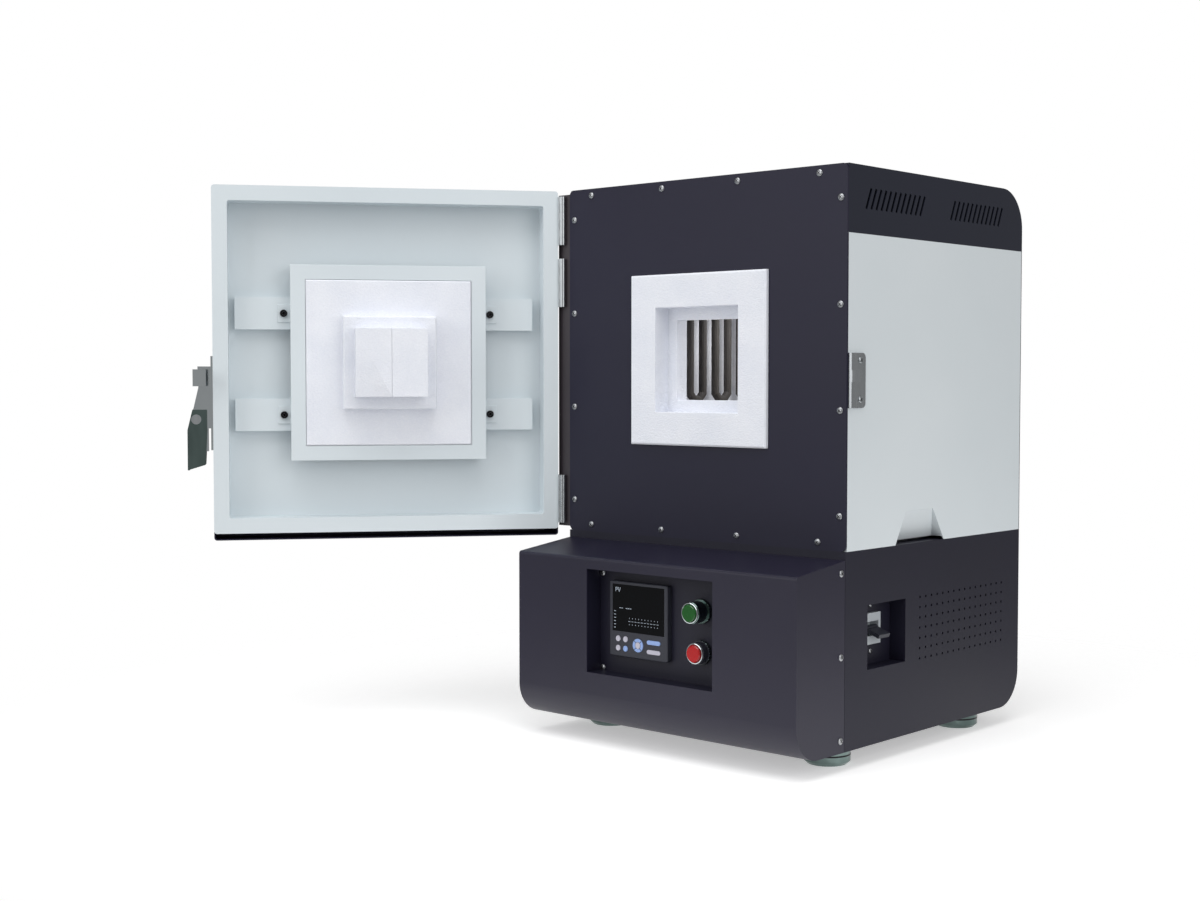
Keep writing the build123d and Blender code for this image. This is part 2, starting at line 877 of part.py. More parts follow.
# Keeper with a front lip and a wedge that the latch hook goes behind
keeper_y = front_y + keeper_near
strike_outer = half_width + strike_reach
with BuildPart() as keeper:
    with BuildSketch(side_at(half_width)):
        with Locations((keeper_y + keeper_length / 2, base_top + (keeper_low + keeper_high) / 2)):
            Rectangle(keeper_length, keeper_high - keeper_low)
        with Locations((keeper_y, base_top + (keeper_low + keeper_high) / 2)):
            Rectangle(keeper_lip, keeper_high - keeper_low, align=(Align.MIN, Align.CENTER))
        with Locations(
            (front_y + keeper_screw_near, base_top + keeper_screw_low),
            (front_y + keeper_screw_near, base_top + keeper_screw_high),
        ):
            SlotOverall(
                4 * screw_hole_radius,
                2 * screw_hole_radius,
                rotation=90,
                mode=Mode.SUBTRACT,
            )
    extrude(amount=keeper_thickness)
    fillet(keeper.edges().filter_by(Axis.X).group_by(Axis.Y)[-1], keeper_corner)
    with BuildSketch(side_at(half_width)):
        with Locations((keeper_y, base_top + (keeper_low + keeper_high) / 2)):
            Rectangle(keeper_lip, keeper_high - keeper_low, align=(Align.MIN, Align.CENTER))
    extrude(amount=keeper_lip_height)
    with BuildSketch(Plane.XY.offset(base_top + strike_low)):
        with BuildLine():
            Polyline(
                (half_width, keeper_y),
                (half_width + strike_root, keeper_y),
                (strike_outer, keeper_y + strike_length / 2),
                (strike_outer, keeper_y + strike_length),
                (half_width, keeper_y + strike_length),
                close=True,
            )
        make_face()
    extrude(amount=strike_high - strike_low)
keep(keeper.part, "keeper")

# Stepped fibre collar round the chamber mouth
with BuildPart() as fibre_collar:
    with BuildSketch(front_at(front_y - frame_proud)):
        with Locations((0, frame_z)):
            Rectangle(frame_size, frame_size)
    extrude(amount=-(frame_proud + frame_rear))
    chamfer(fibre_collar.faces().sort_by(Axis.Y)[0].edges(), frame_edge)
    with BuildSketch(front_at(front_y - frame_proud)):
        with Locations((0, frame_z)):
            Rectangle(mouth_size, mouth_size)
    extrude(amount=-mouth_depth, mode=Mode.SUBTRACT)
    with BuildSketch(front_at(front_y + frame_rear)):
        with Locations((0, frame_z)):
            Rectangle(throat_size, throat_size)
    extrude(amount=frame_rear + frame_proud, mode=Mode.SUBTRACT)
keep(fibre_collar.part, "fibre_collar")

# Chamber lining and its backing
element_x = chamber_width / 2 - element_wall_gap
element_ys = [front_y + element_first + element_pitch * i for i in range(2 * element_count)]
chamber_y = front_y + frame_rear
chamber_mid_z = base_top + (chamber_floor + chamber_roof) / 2
chamber_rise = chamber_roof - chamber_floor
probe_z = base_top + chamber_roof - probe_drop
with BuildPart() as chamber_lining:
    with BuildSketch(front_at(chamber_y)):
        with Locations((0, chamber_mid_z)):
            Rectangle(chamber_width + 2 * lining_wall, chamber_rise + 2 * lining_wall)
    extrude(amount=-(chamber_length + lining_wall))
    with BuildSketch(front_at(chamber_y)):
        with Locations((0, chamber_mid_z)):
            Rectangle(chamber_width, chamber_rise)
    extrude(amount=-chamber_length, mode=Mode.SUBTRACT)
    with BuildSketch(Plane.XY.offset(base_top + chamber_roof)):
        with Locations(*[(x, y) for x in (-element_x, element_x) for y in element_ys]):
            RegularPolygon(element_hole_radius, element_sides, major_radius=False)
    extrude(amount=lining_wall, mode=Mode.SUBTRACT)
    with BuildSketch(front_at(chamber_y + chamber_length + lining_wall)):
        with Locations((0, probe_z)):
            Circle(probe_radius + probe_gap)
    extrude(amount=lining_wall, mode=Mode.SUBTRACT)
keep(chamber_lining.part, "chamber_lining")

backing_y = flange_y + sheet + backing_front_gap
with BuildPart() as backing_insulation:
    with BuildSketch(front_at(backing_y)):
        with Locations((0, base_top + flange + clearance)):
            Rectangle(backing_width, backing_top - flange - clearance, align=(Align.CENTER, Align.MIN))
        with Locations((0, frame_z)):
            Rectangle(frame_size + 2 * clearance, frame_size + 2 * clearance, mode=Mode.SUBTRACT)
    extrude(amount=-(chamber_y - backing_y))
    with BuildSketch(front_at(chamber_y)):
        with Locations((0, base_top)):
            Rectangle(backing_width, backing_top, align=(Align.CENTER, Align.MIN))
        with Locations((0, chamber_mid_z)):
            Rectangle(
                chamber_width + 2 * lining_wall,
                chamber_rise + 2 * lining_wall,
                mode=Mode.SUBTRACT,
            )
    extrude(amount=-(chamber_length + lining_wall))
    with BuildSketch(front_at(chamber_y + chamber_length + lining_wall)):
        with Locations((0, base_top)):
            Rectangle(backing_width, backing_top, align=(Align.CENTER, Align.MIN))
        with Locations((0, probe_z)):
            Circle(probe_radius + probe_gap, mode=Mode.SUBTRACT)
    extrude(amount=-(front_y + backing_rear - chamber_y - chamber_length - lining_wall))
    with BuildSketch(Plane.XY.offset(base_top + chamber_roof)):
        with Locations(*[(x, y) for x in (-element_x, element_x) for y in element_ys]):
            RegularPolygon(element_hole_radius, element_sides, major_radius=False)
    extrude(amount=backing_top - chamber_roof, mode=Mode.SUBTRACT)
keep(backing_insulation.part, "backing_insulation")

with BuildPart() as hearth_plate:
    with BuildSketch(Plane.XY.offset(base_top + chamber_floor)):
        with Locations((0, chamber_y + hearth_front_gap)):
            Rectangle(hearth_width, hearth_length, align=(Align.CENTER, Align.MIN))
    extrude(amount=hearth_thickness)
keep(hearth_plate.part, "hearth_plate")

# Heating elements, hairpins that hang through the roof
element_low_z = base_top + chamber_floor + element_bend_rise
element_top_z = base_top + element_top


def hairpins(x):
    """Row of bent heating rods in the plane of a chamber wall."""
    with BuildPart() as made:
        for pair in range(element_count):
            near = element_ys[2 * pair]
            far = element_ys[2 * pair + 1]
            bend = element_pitch * element_bend_share
            with BuildLine() as path:
                Polyline(
                    (x, near, element_top_z),
                    (x, near, element_low_z),
                    (x, near + bend, element_low_z - bend),
                    (x, far - bend, element_low_z - bend),
                    (x, far, element_low_z),
                    (x, far, element_top_z),
                )
            with BuildSketch(Plane((x, near, element_top_z), z_dir=(0, 0, -1))):
                RegularPolygon(element_radius, element_sides)
            sweep(path=path.line, transition=Transition.RIGHT)
    return made.part


keep(hairpins(-element_x), "heating_elements_left")
keep(hairpins(element_x), "heating_elements_right")

with BuildPart() as element_clamps:
    with BuildSketch(Plane.XY.offset(base_top + backing_top)):
        for pair in range(element_count):
            pair_y = (element_ys[2 * pair] + element_ys[2 * pair + 1]) / 2
            with Locations((-element_x, pair_y), (element_x, pair_y)):
                Rectangle(clamp_width, clamp_length)
        with Locations(*[(x, y) for x in (-element_x, element_x) for y in element_ys]):
            RegularPolygon(
                element_radius + clamp_bore_gap,
                element_sides,
                major_radius=False,
                mode=Mode.SUBTRACT,
            )
    extrude(amount=clamp_height)
keep(element_clamps.part, "element_clamps")

# Thermocouple through the rear wall of the chamber
probe_tip_y = chamber_y + chamber_length - probe_reach
probe_rear_y = front_y + backing_rear
with BuildPart() as thermocouple:
    with BuildSketch(front_at(probe_tip_y)):
        with Locations((0, probe_z)):
            Circle(probe_radius)
    extrude(amount=-(probe_rear_y - probe_tip_y))
    with BuildSketch(front_at(probe_rear_y)):
        with Locations((0, probe_z)):
            Circle(probe_head_radius)
    extrude(amount=-probe_head_length)
    chamfer(thermocouple.faces().sort_by(Axis.Y)[-1].edges(), edge_radius)
keep(thermocouple.part, "thermocouple")

# Transformer on the base floor
floor_z = base_bottom + sheet
with BuildPart() as transformer:
    with BuildSketch(Plane.XZ.offset(-transformer_y)):
        with Locations((transformer_x, floor_z)):
            Rectangle(core_width, core_height, align=(Align.CENTER, Align.MIN))
    extrude(amount=core_depth / 2, both=True)
    with BuildSketch(Plane.XY.offset(floor_z + core_window)):
        with Locations((transformer_x, transformer_y)):
            Rectangle(core_width - 2 * core_window, coil_depth)
    extrude(amount=core_height - 2 * core_window)
    fillet(transformer.edges().filter_by(Axis.Z).group_by(Axis.Y)[-1], coil_margin)
    fillet(transformer.edges().filter_by(Axis.Z).group_by(Axis.Y)[0], coil_margin)
keep(transformer.part, "transformer")

# Power controller on its finned heat sink
fin_pitch = (sink_width - sink_fin) / (sink_fins - 1)
with BuildPart() as power_controller:
    with BuildSketch(Plane.XY.offset(floor_z)):
        with Locations((sink_x, sink_y)):
            with GridLocations(fin_pitch, sink_length, sink_fins, 1):
                Rectangle(sink_fin, sink_length)
    extrude(amount=sink_height)
    with BuildSketch(Plane.XY.offset(floor_z + sink_height)):
        with Locations((sink_x, sink_y)):
            Rectangle(sink_width, sink_length)
    extrude(amount=sink_base)
    with BuildSketch(Plane.XY.offset(floor_z + sink_height + sink_base)):
        with Locations((sink_x, sink_y)):
            Rectangle(relay_width, relay_length)
    extrude(amount=relay_height)
keep(power_controller.part, "power_controller")

# Terminal block on the base floor
terminal_pitch = terminal_length / terminal_count
with BuildPart() as terminal_block:
    with BuildSketch(Plane.XY.offset(floor_z)):
        with Locations((terminal_x, terminal_y)):
            Rectangle(terminal_length, terminal_width)
    extrude(amount=terminal_height)
    with BuildSketch(Plane.XY.offset(floor_z + terminal_height)):
        with Locations((terminal_x, terminal_y)):
            with GridLocations(terminal_pitch, terminal_width, terminal_count, 1):
                Rectangle(terminal_pitch - sheet, terminal_width)
                Rectangle(terminal_pitch, terminal_step, mode=Mode.SUBTRACT)
    extrude(amount=-terminal_step, mode=Mode.SUBTRACT)
keep(terminal_block.part, "terminal_block")

# Cable gland in the rear of the base
gland_plane = Plane(origin=(gland_x, rear_y, gland_z), x_dir=(1, 0, 0), z_dir=(0, 0, 1))
with BuildPart() as cable_gland:
    with BuildSketch(gland_plane):
        with BuildLine():
            Polyline(
                (gland_bore, -gland_inner_length),
                (gland_thread, -gland_inner_length),
                (gland_thread, 0),
                (gland_flange, 0),
                (gland_flange, gland_flange_width),
                (gland_dome, gland_flange_width),
                (gland_dome, gland_reach - gland_bore),
                (gland_bore + gland_gap, gland_reach),
                (gland_bore, gland_reach),
                close=True,
            )
        make_face()
    revolve(axis=Axis((gland_x, rear_y, gland_z), (0, 1, 0)))
keep(cable_gland.part, "cable_gland")

# Turned feet
foot_points = [
    (side * (half_width - foot_side_inset), y)
    for side in (-1, 1)
    for y in (front_y + foot_front_inset, front_y + foot_rear_inset)
]
with BuildPart() as feet:
    for point in foot_points:
        with BuildSketch(Plane((point[0], point[1], 0), x_dir=(1, 0, 0), z_dir=(0, -1, 0))):
            with BuildLine():
                Polyline(
                    (0, 0),
                    (foot_radius - foot_edge, 0),
                    (foot_radius, foot_edge),
                    (foot_radius, foot_height),
                    (0, foot_height),
                    close=True,
                )
            make_face()
        revolve(axis=Axis((point[0], point[1], 0), (0, 0, 1)))
keep(feet.part, "feet")

# Hinge post on the left of the case
axis_x = -half_width - hinge_axis_out
axis_y = front_y - knuckle_radius - hinge_face_gap
with BuildPart() as hinge_post:
    with BuildSketch(Plane.XY.offset(base_top + post_low)):
        with Locations((-half_width, front_y)):
            Rectangle(post_width, post_thickness, align=(Align.MAX, Align.MIN))
            Rectangle(post_thickness, post_return, align=(Align.MAX, Align.MIN))
    extrude(amount=post_high - post_low)
keep(hinge_post.part, "hinge_post")

# Hinges with interleaved knuckles
knuckle_height = hinge_length / knuckle_count
hinge_levels = [base_top + hinge_low, base_top + hinge_middle, base_top + hinge_high]
frame_knuckles = [z + knuckle_height * k for z in hinge_levels for k in range(0, knuckle_count, 2)]
door_knuckles = [z + knuckle_height * k for z in hinge_levels for k in range(1, knuckle_count, 2)]


def hinge_at(z):
    """Level plane on the hinge axis, with x and y along the case."""
    return Plane(origin=(axis_x, axis_y, z), x_dir=(1, 0, 0), z_dir=(0, 0, 1))


def door_at(z):
    """Level plane on the hinge axis, with x along the open door and y out of its inner face."""
    return Plane(origin=(axis_x, axis_y, z), x_dir=(door_open_cos, door_open_sin, 0), z_dir=(0, 0, 1))


leaf_face = knuckle_radius + hinge_face_gap
leaf_step = knuckle_radius + hinge_face_gap
bore_inradius = pin_radius + pin_gap
with BuildPart() as frame_leaves:
    with BuildSketch(*[hinge_at(z) for z in frame_knuckles]):
        Circle(knuckle_radius)
        with Locations((0, leaf_face)):
            Rectangle(knuckle_radius, leaf_face, align=(Align.MAX, Align.MAX))
        RegularPolygon(bore_inradius, hinge_bore_sides, major_radius=False, mode=Mode.SUBTRACT)
    extrude(amount=knuckle_height - knuckle_gap)
    with BuildSketch(*[hinge_at(z) for z in hinge_levels]):
        with Locations((-knuckle_radius - hinge_face_gap, leaf_face)):
            Rectangle(frame_leaf_reach - leaf_step, leaf_thickness, align=(Align.MAX, Align.MAX))
    extrude(amount=hinge_length - knuckle_gap)
    with BuildSketch(*[hinge_at(z) for z in frame_knuckles]):
        with Locations((0, leaf_face)):
            Rectangle(frame_leaf_reach, leaf_thickness, align=(Align.MAX, Align.MAX))
    extrude(amount=knuckle_height - knuckle_gap)
keep(frame_leaves.part, "frame_leaves")

with BuildPart() as door_leaves:
    with BuildSketch(*[door_at(z) for z in door_knuckles]):
        Circle(knuckle_radius)
        with Locations((door_edge_offset, 0)):
            Rectangle(door_edge_offset, leaf_thickness, align=(Align.MAX, Align.CENTER))
        RegularPolygon(bore_inradius, hinge_bore_sides, major_radius=False, mode=Mode.SUBTRACT)
    extrude(amount=knuckle_height - knuckle_gap)
    with BuildSketch(*[door_at(z) for z in hinge_levels]):
        with Locations((door_edge_offset, leaf_thickness / 2)):
            Rectangle(
                door_edge_offset - knuckle_radius - knuckle_gap,
                door_leaf_reach,
                align=(Align.MAX, Align.MAX),
            )
    extrude(amount=hinge_length - knuckle_gap)
keep(door_leaves.part, "door_leaves")

with BuildPart() as hinge_pins:
    with BuildSketch(*[hinge_at(z) for z in hinge_levels]):
        Circle(pin_radius)
    extrude(amount=hinge_length - knuckle_gap)
keep(hinge_pins.part, "hinge_pins")

# Door planes, measured along the door from its hinge side and outward from its inner rim
open_direction = Vector(door_open_cos, door_open_sin, 0)
inner_normal = Vector(-door_open_sin, door_open_cos, 0)
rim_offset = door_gap - knuckle_radius - hinge_face_gap
door_origin = Vector(axis_x, axis_y, base_top) + open_direction * door_edge_offset - inner_normal * rim_offset


def door_face(depth):
    """Plane of the open door at a depth behind its inner rim, with z up."""
    return Plane(
        origin=door_origin - inner_normal * depth,
        x_dir=open_direction,
        z_dir=inner_normal * -1,
    )


def door_level(rise):
    """Level plane of the open door, with x along it and y out of its inner face."""
    return Plane(origin=door_origin + Vector(0, 0, rise), x_dir=open_direction, z_dir=(0, 0, 1))


# Outer shell of the door, which hangs a little below the rim
door_mid_rise = (door_bottom_rise + door_top_rise) / 2
door_height = door_top_rise - door_bottom_rise
shell_height = door_height + door_skirt
shell_mid_rise = door_top_rise - shell_height / 2
with BuildPart() as door_shell:
    with BuildSketch(door_face(door_thickness)):
        with Locations((door_width / 2, shell_mid_rise)):
            RectangleRounded(door_width, shell_height, door_corner)
    extrude(amount=-(door_thickness - sheet))
    chamfer(door_shell.faces().sort_by(Axis((0, 0, 0), inner_normal))[0].edges(), edge_radius / 2)
    with BuildSketch(door_face(sheet)):
        with Locations((door_width / 2, shell_mid_rise)):
            RectangleRounded(door_width - 2 * sheet, shell_height - 2 * sheet, door_corner - sheet)
    extrude(amount=door_thickness - 2 * sheet, mode=Mode.SUBTRACT)
keep(door_shell.part, "door_shell")

# Inner pan of the door with its rim
pan_width = door_width - 2 * door_lip
pan_height = door_height - 2 * door_lip
with BuildPart() as door_pan:
    with BuildSketch(door_face(0)):
        with Locations((door_width / 2, door_mid_rise)):
            RectangleRounded(door_width, door_height, door_corner)
    extrude(amount=sheet)
    with BuildSketch(door_face(0)):
        with Locations((door_width / 2, door_mid_rise)):
            RectangleRounded(pan_width + 2 * sheet, pan_height + 2 * sheet, pan_corner)
    extrude(amount=door_pan_depth)
    with BuildSketch(door_face(0)):
        with Locations((door_width / 2, door_mid_rise)):
            RectangleRounded(pan_width, pan_height, pan_corner - sheet)
    extrude(amount=door_pan_depth - sheet, mode=Mode.SUBTRACT)
keep(door_pan.part, "door_pan")

# Two hat-section bars across the pan
pan_floor = door_pan_depth - sheet
bar_front = pan_floor - bar_depth
with BuildPart() as door_bars:
    with BuildSketch(door_face(bar_front)):
        with Locations((bar_centre_s, bar_lower_rise), (bar_centre_s, bar_upper_rise)):
            Rectangle(bar_length, bar_height)
    extrude(amount=bar_depth)
    with BuildSketch(door_face(bar_front + sheet)):
        with Locations((bar_centre_s, bar_lower_rise), (bar_centre_s, bar_upper_rise)):
            Rectangle(bar_length - 2 * sheet, bar_height - 2 * sheet)
    extrude(amount=bar_depth - sheet, mode=Mode.SUBTRACT)
keep(door_bars.part, "door_bars")

# Metal tray with a returned rim and four ears on the bars
ear_sides = [(tray_centre_s - tray_size / 2, Align.MAX), (tray_centre_s + tray_size / 2, Align.MIN)]
stack_point = (tray_centre_s, stack_rise)
with BuildPart() as door_tray:
    with BuildSketch(door_face(0)):
        with Locations(stack_point):
            Rectangle(tray_size, tray_size)
    extrude(amount=bar_front)
    with BuildSketch(door_face(sheet)):
        with Locations(stack_point):
            Rectangle(tray_size - 2 * sheet, tray_size - 2 * sheet)
    extrude(amount=bar_front - 2 * sheet, mode=Mode.SUBTRACT)
    with BuildSketch(door_face(0)):
        with Locations(stack_point):
            Rectangle(board_size + 2 * board_gap, board_size + 2 * board_gap)
    extrude(amount=sheet, mode=Mode.SUBTRACT)
    with BuildSketch(door_face(bar_front)):
        for edge_s, side_align in ear_sides:
            with Locations((edge_s, bar_lower_rise), (edge_s, bar_upper_rise)):
                Rectangle(tray_ear_length, tray_ear_height, align=(side_align, Align.CENTER))
    extrude(amount=-sheet)
keep(door_tray.part, "door_tray")

# Fibre board, its step and the plug bricks
board_face = frame_proud + board_face_gap - door_gap
with BuildPart() as door_board:
    with BuildSketch(door_face(board_face)):
        with Locations(stack_point):
            Rectangle(board_size, board_size)
    extrude(amount=bar_front - sheet - board_face)
    chamfer(door_board.faces().sort_by(Axis((0, 0, 0), inner_normal))[-1].edges(), board_edge)
keep(door_board.part, "door_board")

with BuildPart() as door_step:
    with BuildSketch(door_face(board_face)):
        with Locations(stack_point):
            Rectangle(step_size, step_size)
    extrude(amount=-step_height)
    chamfer(door_step.faces().sort_by(Axis((0, 0, 0), inner_normal))[-1].edges(), board_edge)
keep(door_step.part, "door_step")

with BuildPart() as plug_bricks:
    with BuildSketch(door_face(board_face - step_height)):
        with Locations(stack_point):
            Rectangle(plug_width, plug_height)
            Rectangle(plug_joint, plug_height, mode=Mode.SUBTRACT)
    extrude(amount=-(plug_reach - step_height))
keep(plug_bricks.part, "plug_bricks")

# Latch plate with two cheeks and a guide for the hook
plate_outer_s = door_width + latch_plate_thickness
cheek_low = pivot_rise - cheek_foot
with BuildPart() as latch_plate:
    with BuildSketch(door_face(latch_plate_near)):
        with Locations((door_width, latch_plate_low)):
            Rectangle(
                latch_plate_thickness,
                latch_plate_high - latch_plate_low,
                align=(Align.MIN, Align.MIN),
            )
    extrude(amount=latch_plate_far - latch_plate_near)
    for cheek_depth, reach in ((cheek_near, guide_near_reach), (cheek_far, guide_reach)):
        with BuildSketch(door_face(cheek_depth)):
            with BuildLine():
                Polyline(
                    (plate_outer_s, cheek_low),
                    (plate_outer_s + cheek_reach, cheek_low),
                    (plate_outer_s + cheek_reach, pivot_rise + cheek_foot),
                    (plate_outer_s + reach, guide_low),
                    (plate_outer_s + reach, guide_high),
                    (plate_outer_s, guide_high),
                    close=True,
                )
            make_face()
            with Locations((pivot_s, pivot_rise)):
                Circle(pivot_radius + pivot_gap, mode=Mode.SUBTRACT)
        extrude(amount=cheek_thickness)
    with BuildSketch(door_level(head_high + clearance)):
        with Locations((plate_outer_s, -cheek_near)):
            Rectangle(
                guide_reach,
                cheek_far + cheek_thickness - cheek_near,
                align=(Align.MIN, Align.MAX),
            )
    extrude(amount=guide_high - head_high - clearance)
keep(latch_plate.part, "latch_plate")

# Lever, a bent channel that turns on the rivet
lever_near = cheek_near - lever_side_gap - lever_thickness
lever_far = cheek_far + cheek_thickness + lever_side_gap
link_rise = pivot_rise - link_drop
lever_profile = [
    (lever_inner_s, lever_top_rise),
    (lever_outer_s - lever_web - foot_edge, lever_top_rise),
    (lever_outer_s, lever_waist_rise),
    (lever_outer_s, lever_tip_rise),
    (lever_inner_s + lever_web, lever_tip_rise + lever_tip_lift),
    (lever_inner_s, lever_waist_rise),
]
with BuildPart() as latch_lever:
    with BuildSketch(door_face(lever_near), door_face(lever_far)):
        with BuildLine():
            Polyline(*lever_profile, close=True)
        make_face()
        with Locations((pivot_s, pivot_rise)):
            Circle(pivot_radius + pivot_gap, mode=Mode.SUBTRACT)
    extrude(amount=lever_thickness)
    with BuildSketch(door_face(lever_near)):
        with BuildLine():
            Polyline(
                (lever_outer_s - lever_web, lever_waist_rise),
                (lever_outer_s, lever_waist_rise),
                (lever_outer_s, lever_tip_rise),
                (lever_outer_s - lever_web, lever_tip_rise),
                close=True,
            )
        make_face()
    extrude(amount=lever_far + lever_thickness - lever_near)
    with BuildSketch(door_face(lever_near)):
        with Locations((pivot_s, link_rise)):
            Circle(link_radius)
    extrude(amount=lever_far + lever_thickness - lever_near)
keep(latch_lever.part, "latch_lever")

# Hook that slides between the cheeks, with a slotted lug for the lever's cross pin
hook_near = cheek_near + cheek_thickness + clearance
hook_far = cheek_far - clearance
tooth_depth = -(keeper_near + strike_length + door_gap + clearance + clearance)
with BuildPart() as latch_hook:
    with BuildSketch(door_face(hook_near)):
        with Locations((strap_s, link_rise - lug_half_height)):
            Rectangle(
                strap_thickness,
                head_high - link_rise + lug_half_height,
                align=(Align.MIN, Align.MIN),
            )
            Rectangle(lug_end_s - strap_s, 2 * lug_half_height, align=(Align.MIN, Align.MIN))
        with Locations((strap_s, head_low)):
            Rectangle(head_outer_s - strap_s, head_high - head_low, align=(Align.MIN, Align.MIN))
        with Locations((pivot_s, link_rise - link_radius - link_play)):
            Rectangle(
                2 * link_radius + 2 * link_play,
                2 * link_radius + 2 * link_play + link_rise_play,
                align=(Align.CENTER, Align.MIN),
                mode=Mode.SUBTRACT,
            )
    extrude(amount=hook_far - hook_near)
    with BuildSketch(door_face(hook_near)):
        with Locations((hook_bar_s, head_low)):
            Rectangle(head_outer_s - hook_bar_s, head_high - head_low, align=(Align.MIN, Align.MIN))
    extrude(amount=-(hook_near - tooth_depth + tooth_thickness))
    with BuildSketch(door_face(tooth_depth)):
        with Locations((tooth_s, head_low)):
            Rectangle(head_outer_s - tooth_s, head_high - head_low, align=(Align.MIN, Align.MIN))
    extrude(amount=-tooth_thickness)
keep(latch_hook.part, "latch_hook")

# Rivet through lever and cheeks
with BuildPart() as latch_rivet:
    with BuildSketch(door_face(lever_near)):
        with Locations((pivot_s, pivot_rise)):
            Circle(pivot_radius)
    extrude(amount=lever_far + lever_thickness - lever_near)
    with BuildSketch(door_face(lever_near)):
        with Locations((pivot_s, pivot_rise)):
            Circle(rivet_head_radius)
    extrude(amount=-rivet_head_height)
    with BuildSketch(door_face(lever_far + lever_thickness)):
        with Locations((pivot_s, pivot_rise)):
            Circle(rivet_head_radius)
    extrude(amount=rivet_head_height)
keep(latch_rivet.part, "latch_rivet")
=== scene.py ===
"""Bench muffle furnace with its door open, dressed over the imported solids."""

import logging
import math
from dataclasses import dataclass, field
from enum import Enum
from typing import Sequence

import bmesh
import bpy
from mathutils import Matrix, Vector


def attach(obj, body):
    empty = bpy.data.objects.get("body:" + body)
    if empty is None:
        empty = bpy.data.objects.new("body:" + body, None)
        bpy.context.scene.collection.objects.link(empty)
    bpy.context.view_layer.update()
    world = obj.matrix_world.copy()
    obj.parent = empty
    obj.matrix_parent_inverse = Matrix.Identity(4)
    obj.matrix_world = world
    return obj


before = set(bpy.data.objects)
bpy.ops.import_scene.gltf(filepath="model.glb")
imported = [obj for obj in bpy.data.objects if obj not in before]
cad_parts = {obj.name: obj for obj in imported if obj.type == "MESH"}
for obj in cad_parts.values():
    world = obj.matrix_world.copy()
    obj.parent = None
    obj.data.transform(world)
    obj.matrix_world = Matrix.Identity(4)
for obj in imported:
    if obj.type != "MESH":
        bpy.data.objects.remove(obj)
log = logging.getLogger("furnace")
MM = 0.001
SHEET = 1.5
WELD_REACH = 0.00001
SOFT_ANGLE = 38
SHARP_ANGLE = 35
DOOR_ALONG = Vector((-0.6, -0.8, 0.0))
DOOR_INWARD = Vector((0.8, -0.6, 0.0))
HINGE_AXIS = Vector((-234.5, -188.4, 264.0))
DOOR_OFFSET = 5.5
RIM_OFFSET = 3.6
Colour = tuple[float, float, float]
Point = tuple[float, float, float]


def linear(red: int, green: int, blue: int) -> Colour:
    """Turn a display colour of 0 to 255 into scene-linear values.

    Args:
        red: Red of the display colour.
        green: Green of the display colour.
        blue: Blue of the display colour.

    Returns:
        The colour as three linear values.
    """
    parts = [channel / 255 for channel in (red, green, blue)]
    red_l, green_l, blue_l = [p / 12.92 if p <= 0.04045 else ((p + 0.055) / 1.055) ** 2.4 for p in parts]
    return (red_l, green_l, blue_l)


class Grain(Enum):
    """Shared surface effects, each built once as a node group."""

    PAINT = "paint_grain"
    # Brushed lines on the steel finishes; on the streaked chrome the same mask paints its reflections.
    BRUSHED_AND_REFLECTION_STREAKS = "brushed_lines_and_reflection_streaks"
    FIBRE = "fibre_felt"
    PLASTIC = "moulded_grain"


